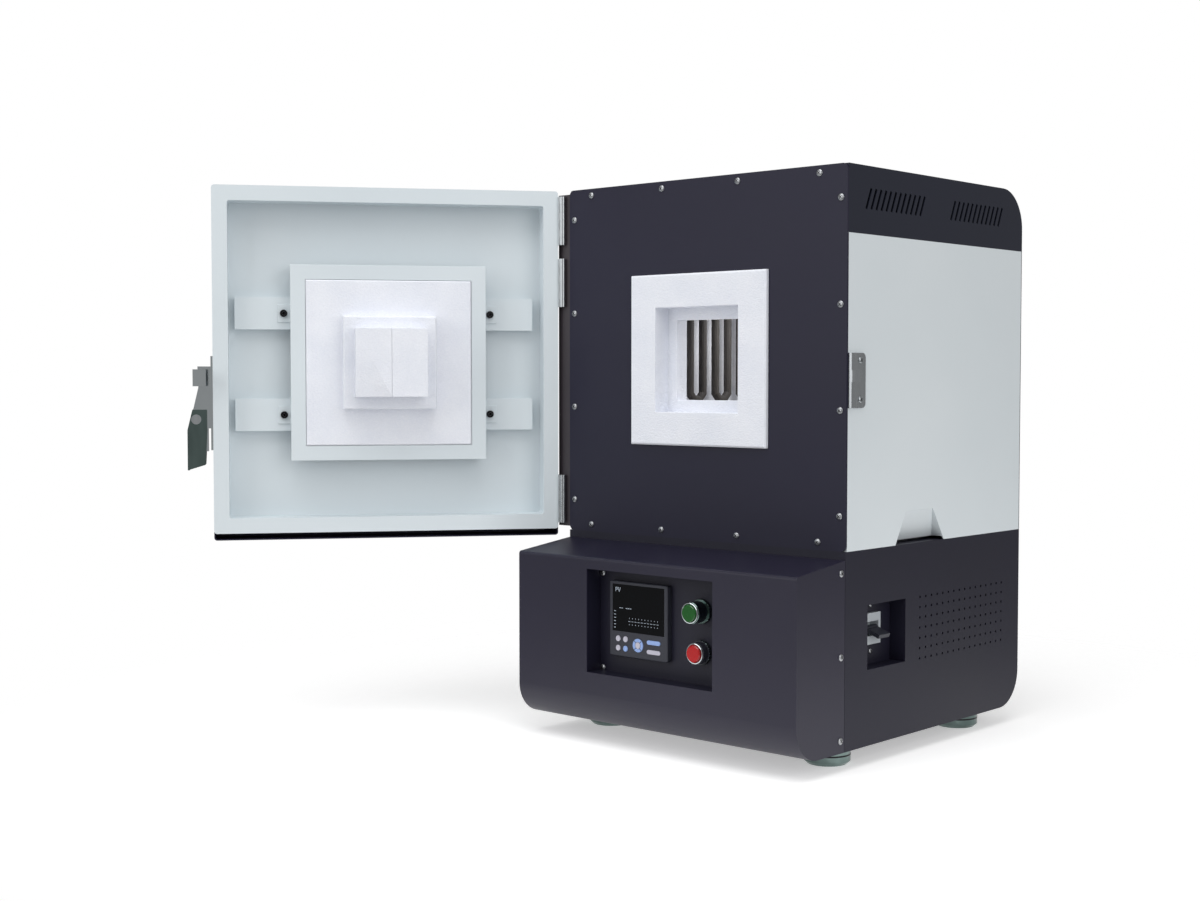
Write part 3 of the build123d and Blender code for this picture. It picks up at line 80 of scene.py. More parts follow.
@dataclass
class NodeShop:
    """Builds the shared node groups and hands out placed copies of them."""

    groups: dict[Grain, bpy.types.NodeTree] = field(default_factory=dict)
    detail: float = 4.0
    plastic_detail: float = 2.0
    broad_scale: float = 3.0
    broad_detail: float = 3.0
    felt_scale: float = 22.0
    cell_scale: float = 420.0
    cell_share: float = 0.5
    spread_low: float = 0.3
    spread_high: float = 0.7

    def open_group(self, grain: Grain) -> tuple[bpy.types.NodeTree, bpy.types.Node, bpy.types.Node]:
        """Make an empty effect group with its sockets.

        Args:
            grain: The effect that the group will hold.

        Returns:
            The group, its input node and its output node.
        """
        group = bpy.data.node_groups.new(grain.value, "ShaderNodeTree")
        for name, default in (("Scale", 100.0), ("Contrast", 0.5)):
            socket = group.interface.new_socket(name=name, in_out="INPUT", socket_type="NodeSocketFloat")
            socket.default_value = default
        group.interface.new_socket(name="Stretch", in_out="INPUT", socket_type="NodeSocketVector")
        group.interface.new_socket(name="Mask", in_out="OUTPUT", socket_type="NodeSocketFloat")
        group.interface.new_socket(name="Height", in_out="OUTPUT", socket_type="NodeSocketFloat")
        return group, group.nodes.new("NodeGroupInput"), group.nodes.new("NodeGroupOutput")

    def build(self, grain: Grain) -> bpy.types.NodeTree:
        """Build the node group of one effect.

        Args:
            grain: The effect to build.

        Returns:
            The finished group.
        """
        group, inlet, outlet = self.open_group(grain)
        link = group.links.new
        place = group.nodes.new("ShaderNodeTexCoord")
        stretch = group.nodes.new("ShaderNodeVectorMath")
        stretch.operation = "MULTIPLY"
        link(place.outputs["Object"], stretch.inputs[0])
        link(inlet.outputs["Stretch"], stretch.inputs[1])
        fine = group.nodes.new("ShaderNodeTexNoise")
        detail = self.detail if grain is not Grain.PLASTIC else self.plastic_detail
        fine.inputs["Detail"].default_value = detail
        link(stretch.outputs[0], fine.inputs["Vector"])
        link(inlet.outputs["Scale"], fine.inputs["Scale"])
        broad = group.nodes.new("ShaderNodeTexNoise")
        broad_scale = self.broad_scale if grain is not Grain.FIBRE else self.felt_scale
        broad.inputs["Scale"].default_value = broad_scale
        broad.inputs["Detail"].default_value = self.broad_detail
        link(place.outputs["Object"], broad.inputs["Vector"])
        height = fine.outputs["Fac"]
        if grain is Grain.FIBRE:
            cells = group.nodes.new("ShaderNodeTexVoronoi")
            cells.inputs["Scale"].default_value = self.cell_scale
            link(place.outputs["Object"], cells.inputs["Vector"])
            blend = group.nodes.new("ShaderNodeMath")
            blend.operation = "MULTIPLY_ADD"
            blend.inputs[1].default_value = self.cell_share
            link(cells.outputs["Distance"], blend.inputs[0])
            link(fine.outputs["Fac"], blend.inputs[2])
            height = blend.outputs[0]
        spread = group.nodes.new("ShaderNodeMapRange")
        spread.inputs["From Min"].default_value = self.spread_low
        spread.inputs["From Max"].default_value = self.spread_high
        link(broad.outputs["Fac"], spread.inputs["Value"])
        mix = group.nodes.new("ShaderNodeMix")
        link(inlet.outputs["Contrast"], mix.inputs["Factor"])
        link(spread.outputs["Result"], mix.inputs["A"])
        link(height, mix.inputs["B"])
        link(mix.outputs["Result"], outlet.inputs["Mask"])
        link(height, outlet.inputs["Height"])
        return group

    def place(
        self, tree: bpy.types.NodeTree, grain: Grain, scale: float, contrast: float, stretch: Point
    ) -> bpy.types.Node:
        """Put one effect into a material with its own values.

        Args:
            tree: The material's node tree.
            grain: The effect to place.
            scale: Fineness of the pattern.
            contrast: Share of the fine pattern in the mask.
            stretch: Stretch of the pattern along each axis.

        Returns:
            The placed group node.
        """
        if grain not in self.groups:
            self.groups[grain] = self.build(grain)
        node = tree.nodes.new("ShaderNodeGroup")
        node.node_tree = self.groups[grain]
        node.inputs["Scale"].default_value = scale
        node.inputs["Contrast"].default_value = contrast
        node.inputs["Stretch"].default_value = stretch
        return node


SHOP = NodeShop()


@dataclass(frozen=True)
class Finish:
    """A surface finish that turns into one procedural material."""

    name: str
    colour: Colour
    shade: Colour
    rough_low: float = 0.35
    rough_high: float = 0.5
    metallic: float = 0.0
    coat: float = 0.0
    specular: float = 0.5
    grain: Grain = Grain.PAINT
    scale: float = 900.0
    contrast: float = 0.35
    depth: float = 0.05
    stretch: Point = (1.0, 1.0, 1.0)

    def material(self) -> bpy.types.Material:
        """Build the material, or return it if it stands already.

        Returns:
            The procedural material.
        """
        title = f"{self.name}_finish"
        if title in bpy.data.materials:
            return bpy.data.materials[title]
        made = bpy.data.materials.new(title)
        made.use_nodes = True
        tree = made.node_tree
        shader = tree.nodes["Principled BSDF"]
        effect = SHOP.place(tree, self.grain, self.scale, self.contrast, self.stretch)
        tint = tree.nodes.new("ShaderNodeMix")
        tint.data_type = "RGBA"
        tint.inputs["A"].default_value = (*self.shade, 1.0)
        tint.inputs["B"].default_value = (*self.colour, 1.0)
        tree.links.new(effect.outputs["Mask"], tint.inputs["Factor"])
        tree.links.new(tint.outputs["Result"], shader.inputs["Base Color"])
        rough = tree.nodes.new("ShaderNodeMapRange")
        rough.inputs["To Min"].default_value = self.rough_low
        rough.inputs["To Max"].default_value = self.rough_high
        tree.links.new(effect.outputs["Mask"], rough.inputs["Value"])
        tree.links.new(rough.outputs["Result"], shader.inputs["Roughness"])
        bump = tree.nodes.new("ShaderNodeBump")
        bump.inputs["Strength"].default_value = self.depth
        bump.inputs["Distance"].default_value = MM
        tree.links.new(effect.outputs["Height"], bump.inputs["Height"])
        tree.links.new(bump.outputs["Normal"], shader.inputs["Normal"])
        shader.inputs["Metallic"].default_value = self.metallic
        shader.inputs["Coat Weight"].default_value = self.coat
        shader.inputs["Specular IOR Level"].default_value = self.specular
        return made


FRONT_PAINT = Finish(
    "front_paint", linear(28, 26, 48), linear(22, 21, 41), 0.42, 0.55,
    specular=0.35, depth=0.06,
)
COVER_PAINT = Finish(
    "cover_paint", linear(28, 31, 46), linear(23, 26, 40), 0.42, 0.55,
    specular=0.35, depth=0.06,
)
BASE_PAINT = Finish(
    "base_paint", linear(25, 24, 41), linear(20, 19, 34), 0.42, 0.55,
    specular=0.35, depth=0.06,
)
CONSOLE_PAINT = Finish(
    "console_paint", linear(28, 25, 46), linear(22, 20, 39), 0.34, 0.48,
    specular=0.45, depth=0.06,
)
WHITE_PAINT = Finish(
    "white_paint", linear(222, 228, 231), linear(212, 220, 224), 0.45, 0.6,
    depth=0.03,
)
DOOR_WHITE = Finish(
    "door_white_paint", linear(218, 226, 230), linear(208, 217, 222), 0.42, 0.58,
    depth=0.03,
)
POST_PAINT = Finish("post_paint", linear(58, 52, 56), linear(44, 40, 46), 0.4, 0.55)
FIBRE = Finish(
    "fibre_board", linear(240, 242, 248), linear(224, 228, 238), 0.9, 1.0,
    grain=Grain.FIBRE, scale=260.0, contrast=0.6, depth=0.5, stretch=(1.0, 1.0, 5.0), specular=0.1,
)
FIBRE_LINING = Finish(
    "fibre_lining", linear(214, 216, 222), linear(180, 182, 190), 0.9, 1.0,
    grain=Grain.FIBRE, scale=200.0, contrast=0.6, depth=0.4, specular=0.1,
)
CERAMIC = Finish(
    "fired_ceramic", linear(226, 220, 206), linear(204, 196, 180), 0.7, 0.85,
    grain=Grain.FIBRE, scale=300.0, contrast=0.5, depth=0.2, specular=0.2,
)
ROD = Finish(
    "heating_rod", linear(58, 54, 52), linear(34, 32, 32), 0.6, 0.85,
    grain=Grain.FIBRE, scale=500.0, contrast=0.6, depth=0.3,
)
ZINC = Finish(
    "zinc_plated", linear(186, 188, 190), linear(150, 152, 156), 0.22, 0.38, 1.0,
    grain=Grain.BRUSHED_AND_REFLECTION_STREAKS, scale=240.0, contrast=0.5, depth=0.03,
)
STAINLESS = Finish(
    "stainless", linear(196, 200, 202), linear(160, 164, 168), 0.2, 0.36, 1.0,
    grain=Grain.BRUSHED_AND_REFLECTION_STREAKS, scale=160.0, contrast=0.6, depth=0.04, stretch=(1.0, 1.0, 0.06),
)
CHROME = Finish(
    "bright_chrome", linear(214, 220, 222), linear(190, 198, 202), 0.05, 0.12, 1.0,
    grain=Grain.BRUSHED_AND_REFLECTION_STREAKS, scale=60.0, contrast=0.4, depth=0.01,
)
# Chrome of the feet, button sleeve, latch lever and nut ribs: its colour swings between bright and near
# black in stretched streaks, painted reflections drawn into the colour.
CHROME_PAINTED_REFLECTIONS = Finish(
    "chrome_painted_reflections", linear(150, 170, 166), linear(14, 30, 30), 0.05, 0.14, 1.0,
    grain=Grain.BRUSHED_AND_REFLECTION_STREAKS, scale=26.0, contrast=0.95, depth=0.02, stretch=(1.0, 1.0, 0.35),
)
BLACK_STEEL = Finish("blackened_steel", linear(26, 26, 30), linear(18, 18, 22), 0.3, 0.45, 0.6)
BLACK_PLASTIC = Finish(
    "black_moulding", linear(46, 48, 58), linear(38, 40, 50), 0.42, 0.55,
    grain=Grain.PLASTIC, scale=1400.0, depth=0.05,
)
SCREEN = Finish(
    "screen_glass", linear(7, 8, 11), linear(4, 5, 7), 0.1, 0.16,
    specular=0.18, grain=Grain.PLASTIC, depth=0.0,
)
KEY_GREY = Finish(
    "key_grey", linear(196, 194, 206), linear(180, 178, 192), 0.35, 0.5,
    grain=Grain.PLASTIC, depth=0.04,
)
KEY_BLUE = Finish(
    "key_blue", linear(152, 178, 228), linear(132, 160, 214), 0.3, 0.45,
    grain=Grain.PLASTIC, depth=0.04,
)
GREEN_LENS = Finish(
    "green_lens", linear(8, 96, 22), linear(3, 44, 12), 0.12, 0.3, coat=0.2,
    grain=Grain.PLASTIC, scale=300.0, depth=0.1,
)
RED_LENS = Finish(
    "red_lens", linear(186, 6, 10), linear(140, 3, 8), 0.12, 0.3, coat=0.2,
    grain=Grain.PLASTIC, scale=300.0, depth=0.1,
)
GREY_PLASTIC = Finish(
    "grey_moulding", linear(190, 196, 200), linear(172, 178, 184), 0.4, 0.55,
    grain=Grain.PLASTIC,
)
ALUMINIUM = Finish(
    "extruded_aluminium", linear(190, 192, 194), linear(160, 162, 166), 0.3, 0.45, 1.0,
    grain=Grain.BRUSHED_AND_REFLECTION_STREAKS, scale=200.0, depth=0.04, stretch=(1.0, 0.06, 1.0),
)
CORE = Finish("core_steel", linear(84, 78, 76), linear(60, 56, 54), 0.5, 0.7, 0.4)
MARK_WHITE = Finish("screen_marks", linear(190, 200, 210), linear(170, 182, 196), 0.5, 0.6, depth=0.0)


def dress(node: str, finish: Finish) -> None:
    """Give a carried solid its finish.

    Args:
        node: Name of the solid.
        finish: The finish for all of its faces.
    """
    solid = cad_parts[node]
    solid.data.materials.clear()
    solid.data.materials.append(finish.material())
    log.info("dressed %s with %s", node, finish.name)


def soften(node: str, width: float, segments: int = 2) -> None:
    """Round the sharp edges of a carried solid a little.

    Args:
        node: Name of the solid.
        width: Width of the rounding in millimetres.
        segments: Steps in the rounding.
    """
    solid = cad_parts[node]
    weld = solid.modifiers.new("weld", "WELD")
    weld.merge_threshold = WELD_REACH
    edge = solid.modifiers.new("edge", "BEVEL")
    edge.width = width * MM
    edge.segments = segments
    edge.limit_method = "ANGLE"
    edge.angle_limit = math.radians(SOFT_ANGLE)
    edge.harden_normals = False
    edge.use_clamp_overlap = True


def finish_piece(
    name: str, mesh: bmesh.types.BMesh, finish: Finish, body: str, smooth: bool = True
) -> bpy.types.Object:
    """Turn a built mesh into a piece that rides on a body.

    Args:
        name: Name of the piece.
        mesh: The mesh, in metres in the row frame.
        finish: The finish for all of its faces.
        body: The body that carries it.
        smooth: Whether its faces are shaded smooth.

    Returns:
        The piece.
    """
    bmesh.ops.recalc_face_normals(mesh, faces=mesh.faces)
    data = bpy.data.meshes.new(name)
    mesh.to_mesh(data)
    mesh.free()
    if smooth:
        data.shade_smooth()
        data.set_sharp_from_angle(angle=math.radians(SHARP_ANGLE))
    data.materials.append(finish.material())
    piece = bpy.data.objects.new(name, data)
    bpy.context.scene.collection.objects.link(piece)
    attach(piece, body)
    log.info("built %s", name)
    return piece


def frame_of(origin: Point, across: Vector, out: Vector) -> Matrix:
    """Make the matrix of a local frame.

    Args:
        origin: Origin of the frame in millimetres.
        across: Direction of its x axis.
        out: Direction of its z axis.

    Returns:
        The matrix, in metres.
    """
    x_axis = across.normalized()
    z_axis = out.normalized()
    y_axis = z_axis.cross(x_axis)
    turn = Matrix((x_axis, y_axis, z_axis)).transposed().to_4x4()
    return Matrix.Translation(Vector(origin) * MM) @ turn


def front_frame(x: float, y: float, z: float) -> Matrix:
    """Local frame that looks out of the front, with x to the right and y up.

    Args:
        x: Place along x in millimetres.
        y: Place along y in millimetres.
        z: Height in millimetres.

    Returns:
        The matrix, in metres.
    """
    return frame_of((x, y, z), Vector((1, 0, 0)), Vector((0, -1, 0)))


def node_box(node: str) -> tuple[Vector, Vector]:
    """Measure the box of one carried solid.

    Args:
        node: Name of the solid.

    Returns:
        The low and the high corner, in millimetres in the row frame.
    """
    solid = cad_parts[node]
    corners = [solid.matrix_world @ Vector(corner) / MM for corner in solid.bound_box]
    low = Vector([min(corner[axis] for corner in corners) for axis in range(3)])
    high = Vector([max(corner[axis] for corner in corners) for axis in range(3)])
    return low, high


def right_frame(x: float, y: float, z: float) -> Matrix:
    """Local frame that looks out of the right side, with y up.

    Args:
        x: Place along x in millimetres.
        y: Place along y in millimetres.
        z: Height in millimetres.

    Returns:
        The matrix, in metres.
    """
    return frame_of((x, y, z), Vector((0, 1, 0)), Vector((1, 0, 0)))


def left_frame(x: float, y: float, z: float) -> Matrix:
    """Local frame that looks out of the left side, with y up.

    Args:
        x: Place along x in millimetres.
        y: Place along y in millimetres.
        z: Height in millimetres.

    Returns:
        The matrix, in metres.
    """
    return frame_of((x, y, z), Vector((0, -1, 0)), Vector((-1, 0, 0)))


def door_frame(along: float, depth: float, rise: float) -> Matrix:
    """Local frame on the open door, with z out of its inner face.

    Args:
        along: Distance from the hinge side in millimetres.
        depth: Depth behind the inner rim in millimetres.
        rise: Height above the bottom of the case in millimetres.

    Returns:
        The matrix, in metres.
    """
    place = HINGE_AXIS + DOOR_ALONG * (along + DOOR_OFFSET) - DOOR_INWARD * (depth + RIM_OFFSET)
    place.z += rise
    return frame_of(tuple(place), DOOR_ALONG, DOOR_INWARD)


def lathe(
    mesh: bmesh.types.BMesh, where: Matrix, profile: Sequence[tuple[float, float]], steps: int
) -> None:
    """Turn a profile round the local z axis.

    Args:
        mesh: The mesh that gets the turned surface.
        where: The local frame.
        profile: Radius and height of each ring, in millimetres.
        steps: Facets round the axis.
    """
    rings = []
    for radius, height in profile:
        if radius <= 0.0:
            rings.append([mesh.verts.new(where @ Vector((0, 0, height * MM)))])
            continue
        ring = []
        for step in range(steps):
            angle = 2 * math.pi * step / steps
            spot = Vector((radius * math.cos(angle), radius * math.sin(angle), height)) * MM
            ring.append(mesh.verts.new(where @ spot))
        rings.append(ring)
    for lower, upper in zip(rings, rings[1:]):
        for step in range(steps):
            after = (step + 1) % steps
            if len(lower) == 1 and len(upper) > 1:
                mesh.faces.new((lower[0], upper[step], upper[after]))
            elif len(upper) == 1 and len(lower) > 1:
                mesh.faces.new((lower[step], lower[after], upper[0]))
            elif len(lower) > 1:
                mesh.faces.new((lower[step], lower[after], upper[after], upper[step]))


def slab(
    mesh: bmesh.types.BMesh, where: Matrix, width: float, height: float, depth: float, edge: float
) -> None:
    """Add a plate with bevelled edges, standing on the local plane.

    Args:
        mesh: The mesh that gets the plate.
        where: The local frame at the middle of the plate's back.
        width: Size along local x in millimetres.
        height: Size along local y in millimetres.
        depth: Size along local z in millimetres.
        edge: Width of the bevel in millimetres.
    """
    loops = []
    for inset, level in ((0.0, 0.0), (0.0, depth - edge), (edge, depth)):
        half_x, half_y = (width / 2 - inset) * MM, (height / 2 - inset) * MM
        corners = ((-half_x, -half_y), (half_x, -half_y), (half_x, half_y), (-half_x, half_y))
        loops.append([mesh.verts.new(where @ Vector((x, y, level * MM))) for x, y in corners])
    mesh.faces.new(list(reversed(loops[0])))
    for lower, upper in zip(loops, loops[1:]):
        for step in range(4):
            after = (step + 1) % 4
            mesh.faces.new((lower[step], lower[after], upper[after], upper[step]))
    mesh.faces.new(loops[-1])


@dataclass(frozen=True)
class Lamp:
    """One soft square lamp, with places in metres and power in watts."""

    name: str
    place: Point
    target: Point
    size: float
    power: float


MIDDLE: Point = (-0.1, -0.1, 0.4)
LAMPS = (
    Lamp("overhead_lamp", (0.3, -1.0, 2.6), MIDDLE, 2.4, 40.0),
    Lamp("front_lamp", (-0.9, -3.0, 1.3), MIDDLE, 2.2, 27.0),
    Lamp("chamber_lamp", (0.0, -0.02, 0.574), (0.0, -0.02, 0.4), 0.09, 0.32),
    Lamp("right_lamp", (3.0, -0.6, 1.3), MIDDLE, 2.2, 30.0),
)


@dataclass
class Studio:
    """Floor, lamps and the camera."""

    camera_place: Point = (1351.3, -1850.5, 469.8)
    camera_turn: float = 42.382
    camera_pitch: float = 2.443
    lens: float = 50.477
    sensor: float = 36.0
    reach: float = 100.0
    floor_radius: float = 9.0
    floor_steps: int = 96
    floor_grey: float = 0.93
    floor_glow: float = 0.4
    fade_from: float = 0.45
    fade_to: float = 1.1
    shed_light: float = 0.34

    def camera(self) -> None:
        """Set up the camera at the photographed angle."""
        data = bpy.data.cameras.new("camera")
        data.lens = self.lens
        data.sensor_width = self.sensor
        data.clip_end = self.reach
        rig = bpy.data.objects.new("camera", data)
        rig.location = Vector(self.camera_place) * MM
        rig.rotation_euler = (math.radians(90.0 - self.camera_pitch), 0.0, math.radians(self.camera_turn))
        bpy.context.scene.collection.objects.link(rig)
        bpy.context.scene.camera = rig

    def light(self, lamp: Lamp) -> None:
        """Hang one lamp.

        Args:
            lamp: The lamp to hang.
        """
        data = bpy.data.lights.new(lamp.name, "AREA")
        data.shape = "SQUARE"
        data.size = lamp.size
        data.energy = lamp.power
        holder = bpy.data.objects.new(lamp.name, data)
        holder.location = lamp.place
        aim = Vector(lamp.target) - Vector(lamp.place)
        holder.rotation_euler = aim.to_track_quat("-Z", "Y").to_euler()
        bpy.context.scene.collection.objects.link(holder)

    def world(self) -> None:
        """Plain white surroundings, dimmer for the light that they shed."""
        world = bpy.data.worlds.new("surroundings")
        world.use_nodes = True
        bpy.context.scene.world = world
        tree = world.node_tree
        sky = tree.nodes["Background"]
        sky.inputs["Color"].default_value = (1.0, 1.0, 1.0, 1.0)
        path = tree.nodes.new("ShaderNodeLightPath")
        seen = tree.nodes.new("ShaderNodeMath")
        seen.operation = "MAXIMUM"
        tree.links.new(path.outputs["Is Camera Ray"], seen.inputs[0])
        tree.links.new(path.outputs["Is Transmission Ray"], seen.inputs[1])
        level = tree.nodes.new("ShaderNodeMapRange")
        level.inputs["To Min"].default_value = self.shed_light
        level.inputs["To Max"].default_value = 1.0
        tree.links.new(seen.outputs[0], level.inputs["Value"])
        tree.links.new(level.outputs["Result"], sky.inputs["Strength"])

    def floor(self) -> None:
        """Lay a pale round floor that fades into the surroundings."""
        mesh = bmesh.new()
        bmesh.ops.create_circle(
            mesh, cap_ends=True, segments=self.floor_steps, radius=self.floor_radius
        )
        data = bpy.data.meshes.new("studio_floor")
        mesh.to_mesh(data)
        mesh.free()
        paper = bpy.data.materials.new("floor_paper")
        paper.use_nodes = True
        tree = paper.node_tree
        shader = tree.nodes["Principled BSDF"]
        shader.inputs["Base Color"].default_value = (*[self.floor_grey] * 3, 1.0)
        shader.inputs["Roughness"].default_value = 1.0
        shader.inputs["Specular IOR Level"].default_value = 0.0
        shader.inputs["Emission Color"].default_value = (1.0, 1.0, 1.0, 1.0)
        shader.inputs["Emission Strength"].default_value = self.floor_glow
        place = tree.nodes.new("ShaderNodeTexCoord")
        length = tree.nodes.new("ShaderNodeVectorMath")
        length.operation = "LENGTH"
        tree.links.new(place.outputs["Object"], length.inputs[0])
        fade = tree.nodes.new("ShaderNodeMapRange")
        fade.inputs["From Min"].default_value = self.fade_from
        fade.inputs["From Max"].default_value = self.fade_to
        fade.inputs["To Min"].default_value = 1.0
        fade.inputs["To Max"].default_value = 0.0
        tree.links.new(length.outputs["Value"], fade.inputs["Value"])
        tree.links.new(fade.outputs["Result"], shader.inputs["Alpha"])
        data.materials.append(paper)
        floor = bpy.data.objects.new("studio_floor", data)
        bpy.context.scene.collection.objects.link(floor)

    def build(self) -> None:
        """Set up the whole studio."""
        bpy.context.scene.view_settings.view_transform = "Standard"
        self.camera()
        self.world()
        self.floor()
        for lamp in LAMPS:
            self.light(lamp)


@dataclass
class Case:
    """Front plate, side panels, cover, rear panel, hinge post and keeper."""

    finishes: dict[str, Finish] = field(
        default_factory=lambda: {
            "front_plate": FRONT_PAINT,
            "side_panel_left": WHITE_PAINT,
            "side_panel_right": WHITE_PAINT,
            "top_cover": COVER_PAINT,
            "rear_panel": COVER_PAINT,
            "hinge_post": POST_PAINT,
            "keeper": STAINLESS,
        }
    )

    def build(self) -> None:
        """Dress the case."""
        for node, finish in self.finishes.items():
            dress(node, finish)


@dataclass
class Base:
    """Base housing, console shell, recesses, feet and the electrical parts inside."""

    finishes: dict[str, Finish] = field(
        default_factory=lambda: {
            "base_side_left": BASE_PAINT,
            "base_side_right": BASE_PAINT,
            "base_pan": BASE_PAINT,
            "base_deck": BASE_PAINT,
            "console_shell": CONSOLE_PAINT,
            "control_recess": BASE_PAINT,
            "breaker_recess": BASE_PAINT,
            "breaker_body": GREY_PLASTIC,
            "breaker_toggle": BLACK_PLASTIC,
            "feet": CHROME_PAINTED_REFLECTIONS,
            "cable_gland": BLACK_PLASTIC,
            "transformer": CORE,
            "power_controller": ALUMINIUM,
            "terminal_block": GREY_PLASTIC,
        }
    )

    def build(self) -> None:
        """Dress the base."""
        for node, finish in self.finishes.items():
            dress(node, finish)


@dataclass
class ControlPanel:
    """Controller, its keys and the two push-buttons."""

    finishes: dict[str, Finish] = field(
        default_factory=lambda: {
            "controller_case": BLACK_PLASTIC,
            "controller_screen": SCREEN,
            "round_key_1": KEY_GREY,
            "round_key_2": KEY_GREY,
            "round_key_3": KEY_GREY,
            "round_key_4": KEY_BLUE,
            "ring_key": KEY_BLUE,
            "centre_key": KEY_GREY,
            "oblong_key_1": KEY_BLUE,
            "oblong_key_2": KEY_GREY,
            "green_sleeve": CHROME_PAINTED_REFLECTIONS,
            "green_cap": GREEN_LENS,
            "red_sleeve": BLACK_PLASTIC,
            "red_cap": RED_LENS,
        }
    )

    def build(self) -> None:
        """Dress the panel."""
        for node, finish in self.finishes.items():
            dress(node, finish)


@dataclass
class Chamber:
    """Fibre collar, lining, heating rods and what serves them."""

    edge: float = 0.6
    finishes: dict[str, Finish] = field(
        default_factory=lambda: {
            "fibre_collar": FIBRE,
            "chamber_lining": FIBRE_LINING,
            "backing_insulation": FIBRE_LINING,
            "hearth_plate": CERAMIC,
            "heating_elements_left": ROD,
            "heating_elements_right": ROD,
            "element_clamps": CERAMIC,
            "thermocouple": CERAMIC,
        }
    )

    def build(self) -> None:
        """Dress the chamber and round the edges of its collar."""
        for node, finish in self.finishes.items():
            dress(node, finish)
        soften("fibre_collar", self.edge)


@dataclass
class Door:
    """Door leaf with its pan, bars, tray and plug."""

    edge: float = 0.5
    finishes: dict[str, Finish] = field(
        default_factory=lambda: {
            "door_shell": FRONT_PAINT,
            "door_pan": DOOR_WHITE,
            "door_bars": DOOR_WHITE,
            "door_tray": DOOR_WHITE,
            "door_board": FIBRE,
            "door_step": FIBRE,
            "plug_bricks": FIBRE,
            "door_leaves": STAINLESS,
            "frame_leaves": STAINLESS,
            "hinge_pins": STAINLESS,
            "latch_plate": CHROME,
            "latch_lever": CHROME_PAINTED_REFLECTIONS,
            "latch_hook": CHROME,
            "latch_rivet": STAINLESS,
        }
    )

    def build(self) -> None:
        """Dress the door and round the edges of its plates and boards."""
        for node, finish in self.finishes.items():
            dress(node, finish)
        for node in ("door_step", "plug_bricks", "door_bars", "door_tray"):
            soften(node, self.edge)


@dataclass(frozen=True)
class Screw:
    """Domed screw whose cross recess is drawn as dark raised bars of painted shade, or a cap screw with a
    hexagon socket.
    """

    radius: float = 4.2
    height: float = 2.0
    finish: Finish = ZINC
    cross: bool = True
    rim_share: float = 0.25
    dome_steps: int = 6
    dome_sides: int = 32
    bar_lift: float = 0.7
    bar_length: float = 1.1
    bar_width: float = 0.22
    bar_depth: float = 0.32
    bar_edge: float = 0.05
    cap_edge: float = 0.5
    cap_sides: int = 40
    socket_share: float = 0.48
    socket_floor: float = 0.4
    socket_sides: int = 6

    def build(self, name: str, where: Matrix, body: str) -> None:
        """Build one screw on a surface.

        Args:
            name: Name of the piece.
            where: Local frame on the surface, with z out of it.
            body: The body that carries the screw.
        """
        mesh = bmesh.new()
        if self.cross:
            rings = [(self.radius, 0.0), (self.radius, self.rim_share * self.height)]
            for step in range(1, self.dome_steps + 1):
                angle = math.pi / 2 * step / (self.dome_steps + 1)
                rise = self.height * (self.rim_share + (1.0 - self.rim_share) * math.sin(angle))
                rings.append((self.radius * math.cos(angle), rise))
            rings.append((0.0, self.height))
            lathe(mesh, where, rings, self.dome_sides)
            finish_piece(name, mesh, self.finish, body)
            # Dark raised bars on the dome: painted shade in place of the hollow cross recess.
            recess = bmesh.new()
            for turn in (45, 135):
                spin = where @ Matrix.Rotation(math.radians(turn), 4, "Z")
                lift = spin @ Matrix.Translation((0, 0, self.bar_lift * self.height * MM))
                length, width = self.bar_length * self.radius, self.bar_width * self.radius
                slab(recess, lift, length, width, self.bar_depth * self.height, self.bar_edge)
            finish_piece(name + "_cross_painted_shade", recess, BLACK_STEEL, body, False)
            return
        inner = self.socket_share * self.radius
        rings = [
            (self.radius, 0.0),
            (self.radius, self.height - self.cap_edge),
            (self.radius - self.cap_edge, self.height),
            (inner, self.height),
        ]
        lathe(mesh, where, rings, self.cap_sides)
        bottom = self.socket_floor * self.height
        socket = [(inner, self.height), (inner, bottom), (0.0, bottom)]
        lathe(mesh, where, socket, self.socket_sides)
        finish_piece(name, mesh, self.finish, body)


SHEET_SCREW = Screw()
RECESS_SCREW = Screw(4.4, 2.4)
BREAKER_SCREW = Screw(3.2, 1.6)
KEEPER_SCREW = Screw(4.0, 1.9, STAINLESS)
CAP_SCREW = Screw(4.9, 4.0, BLACK_STEEL, False)


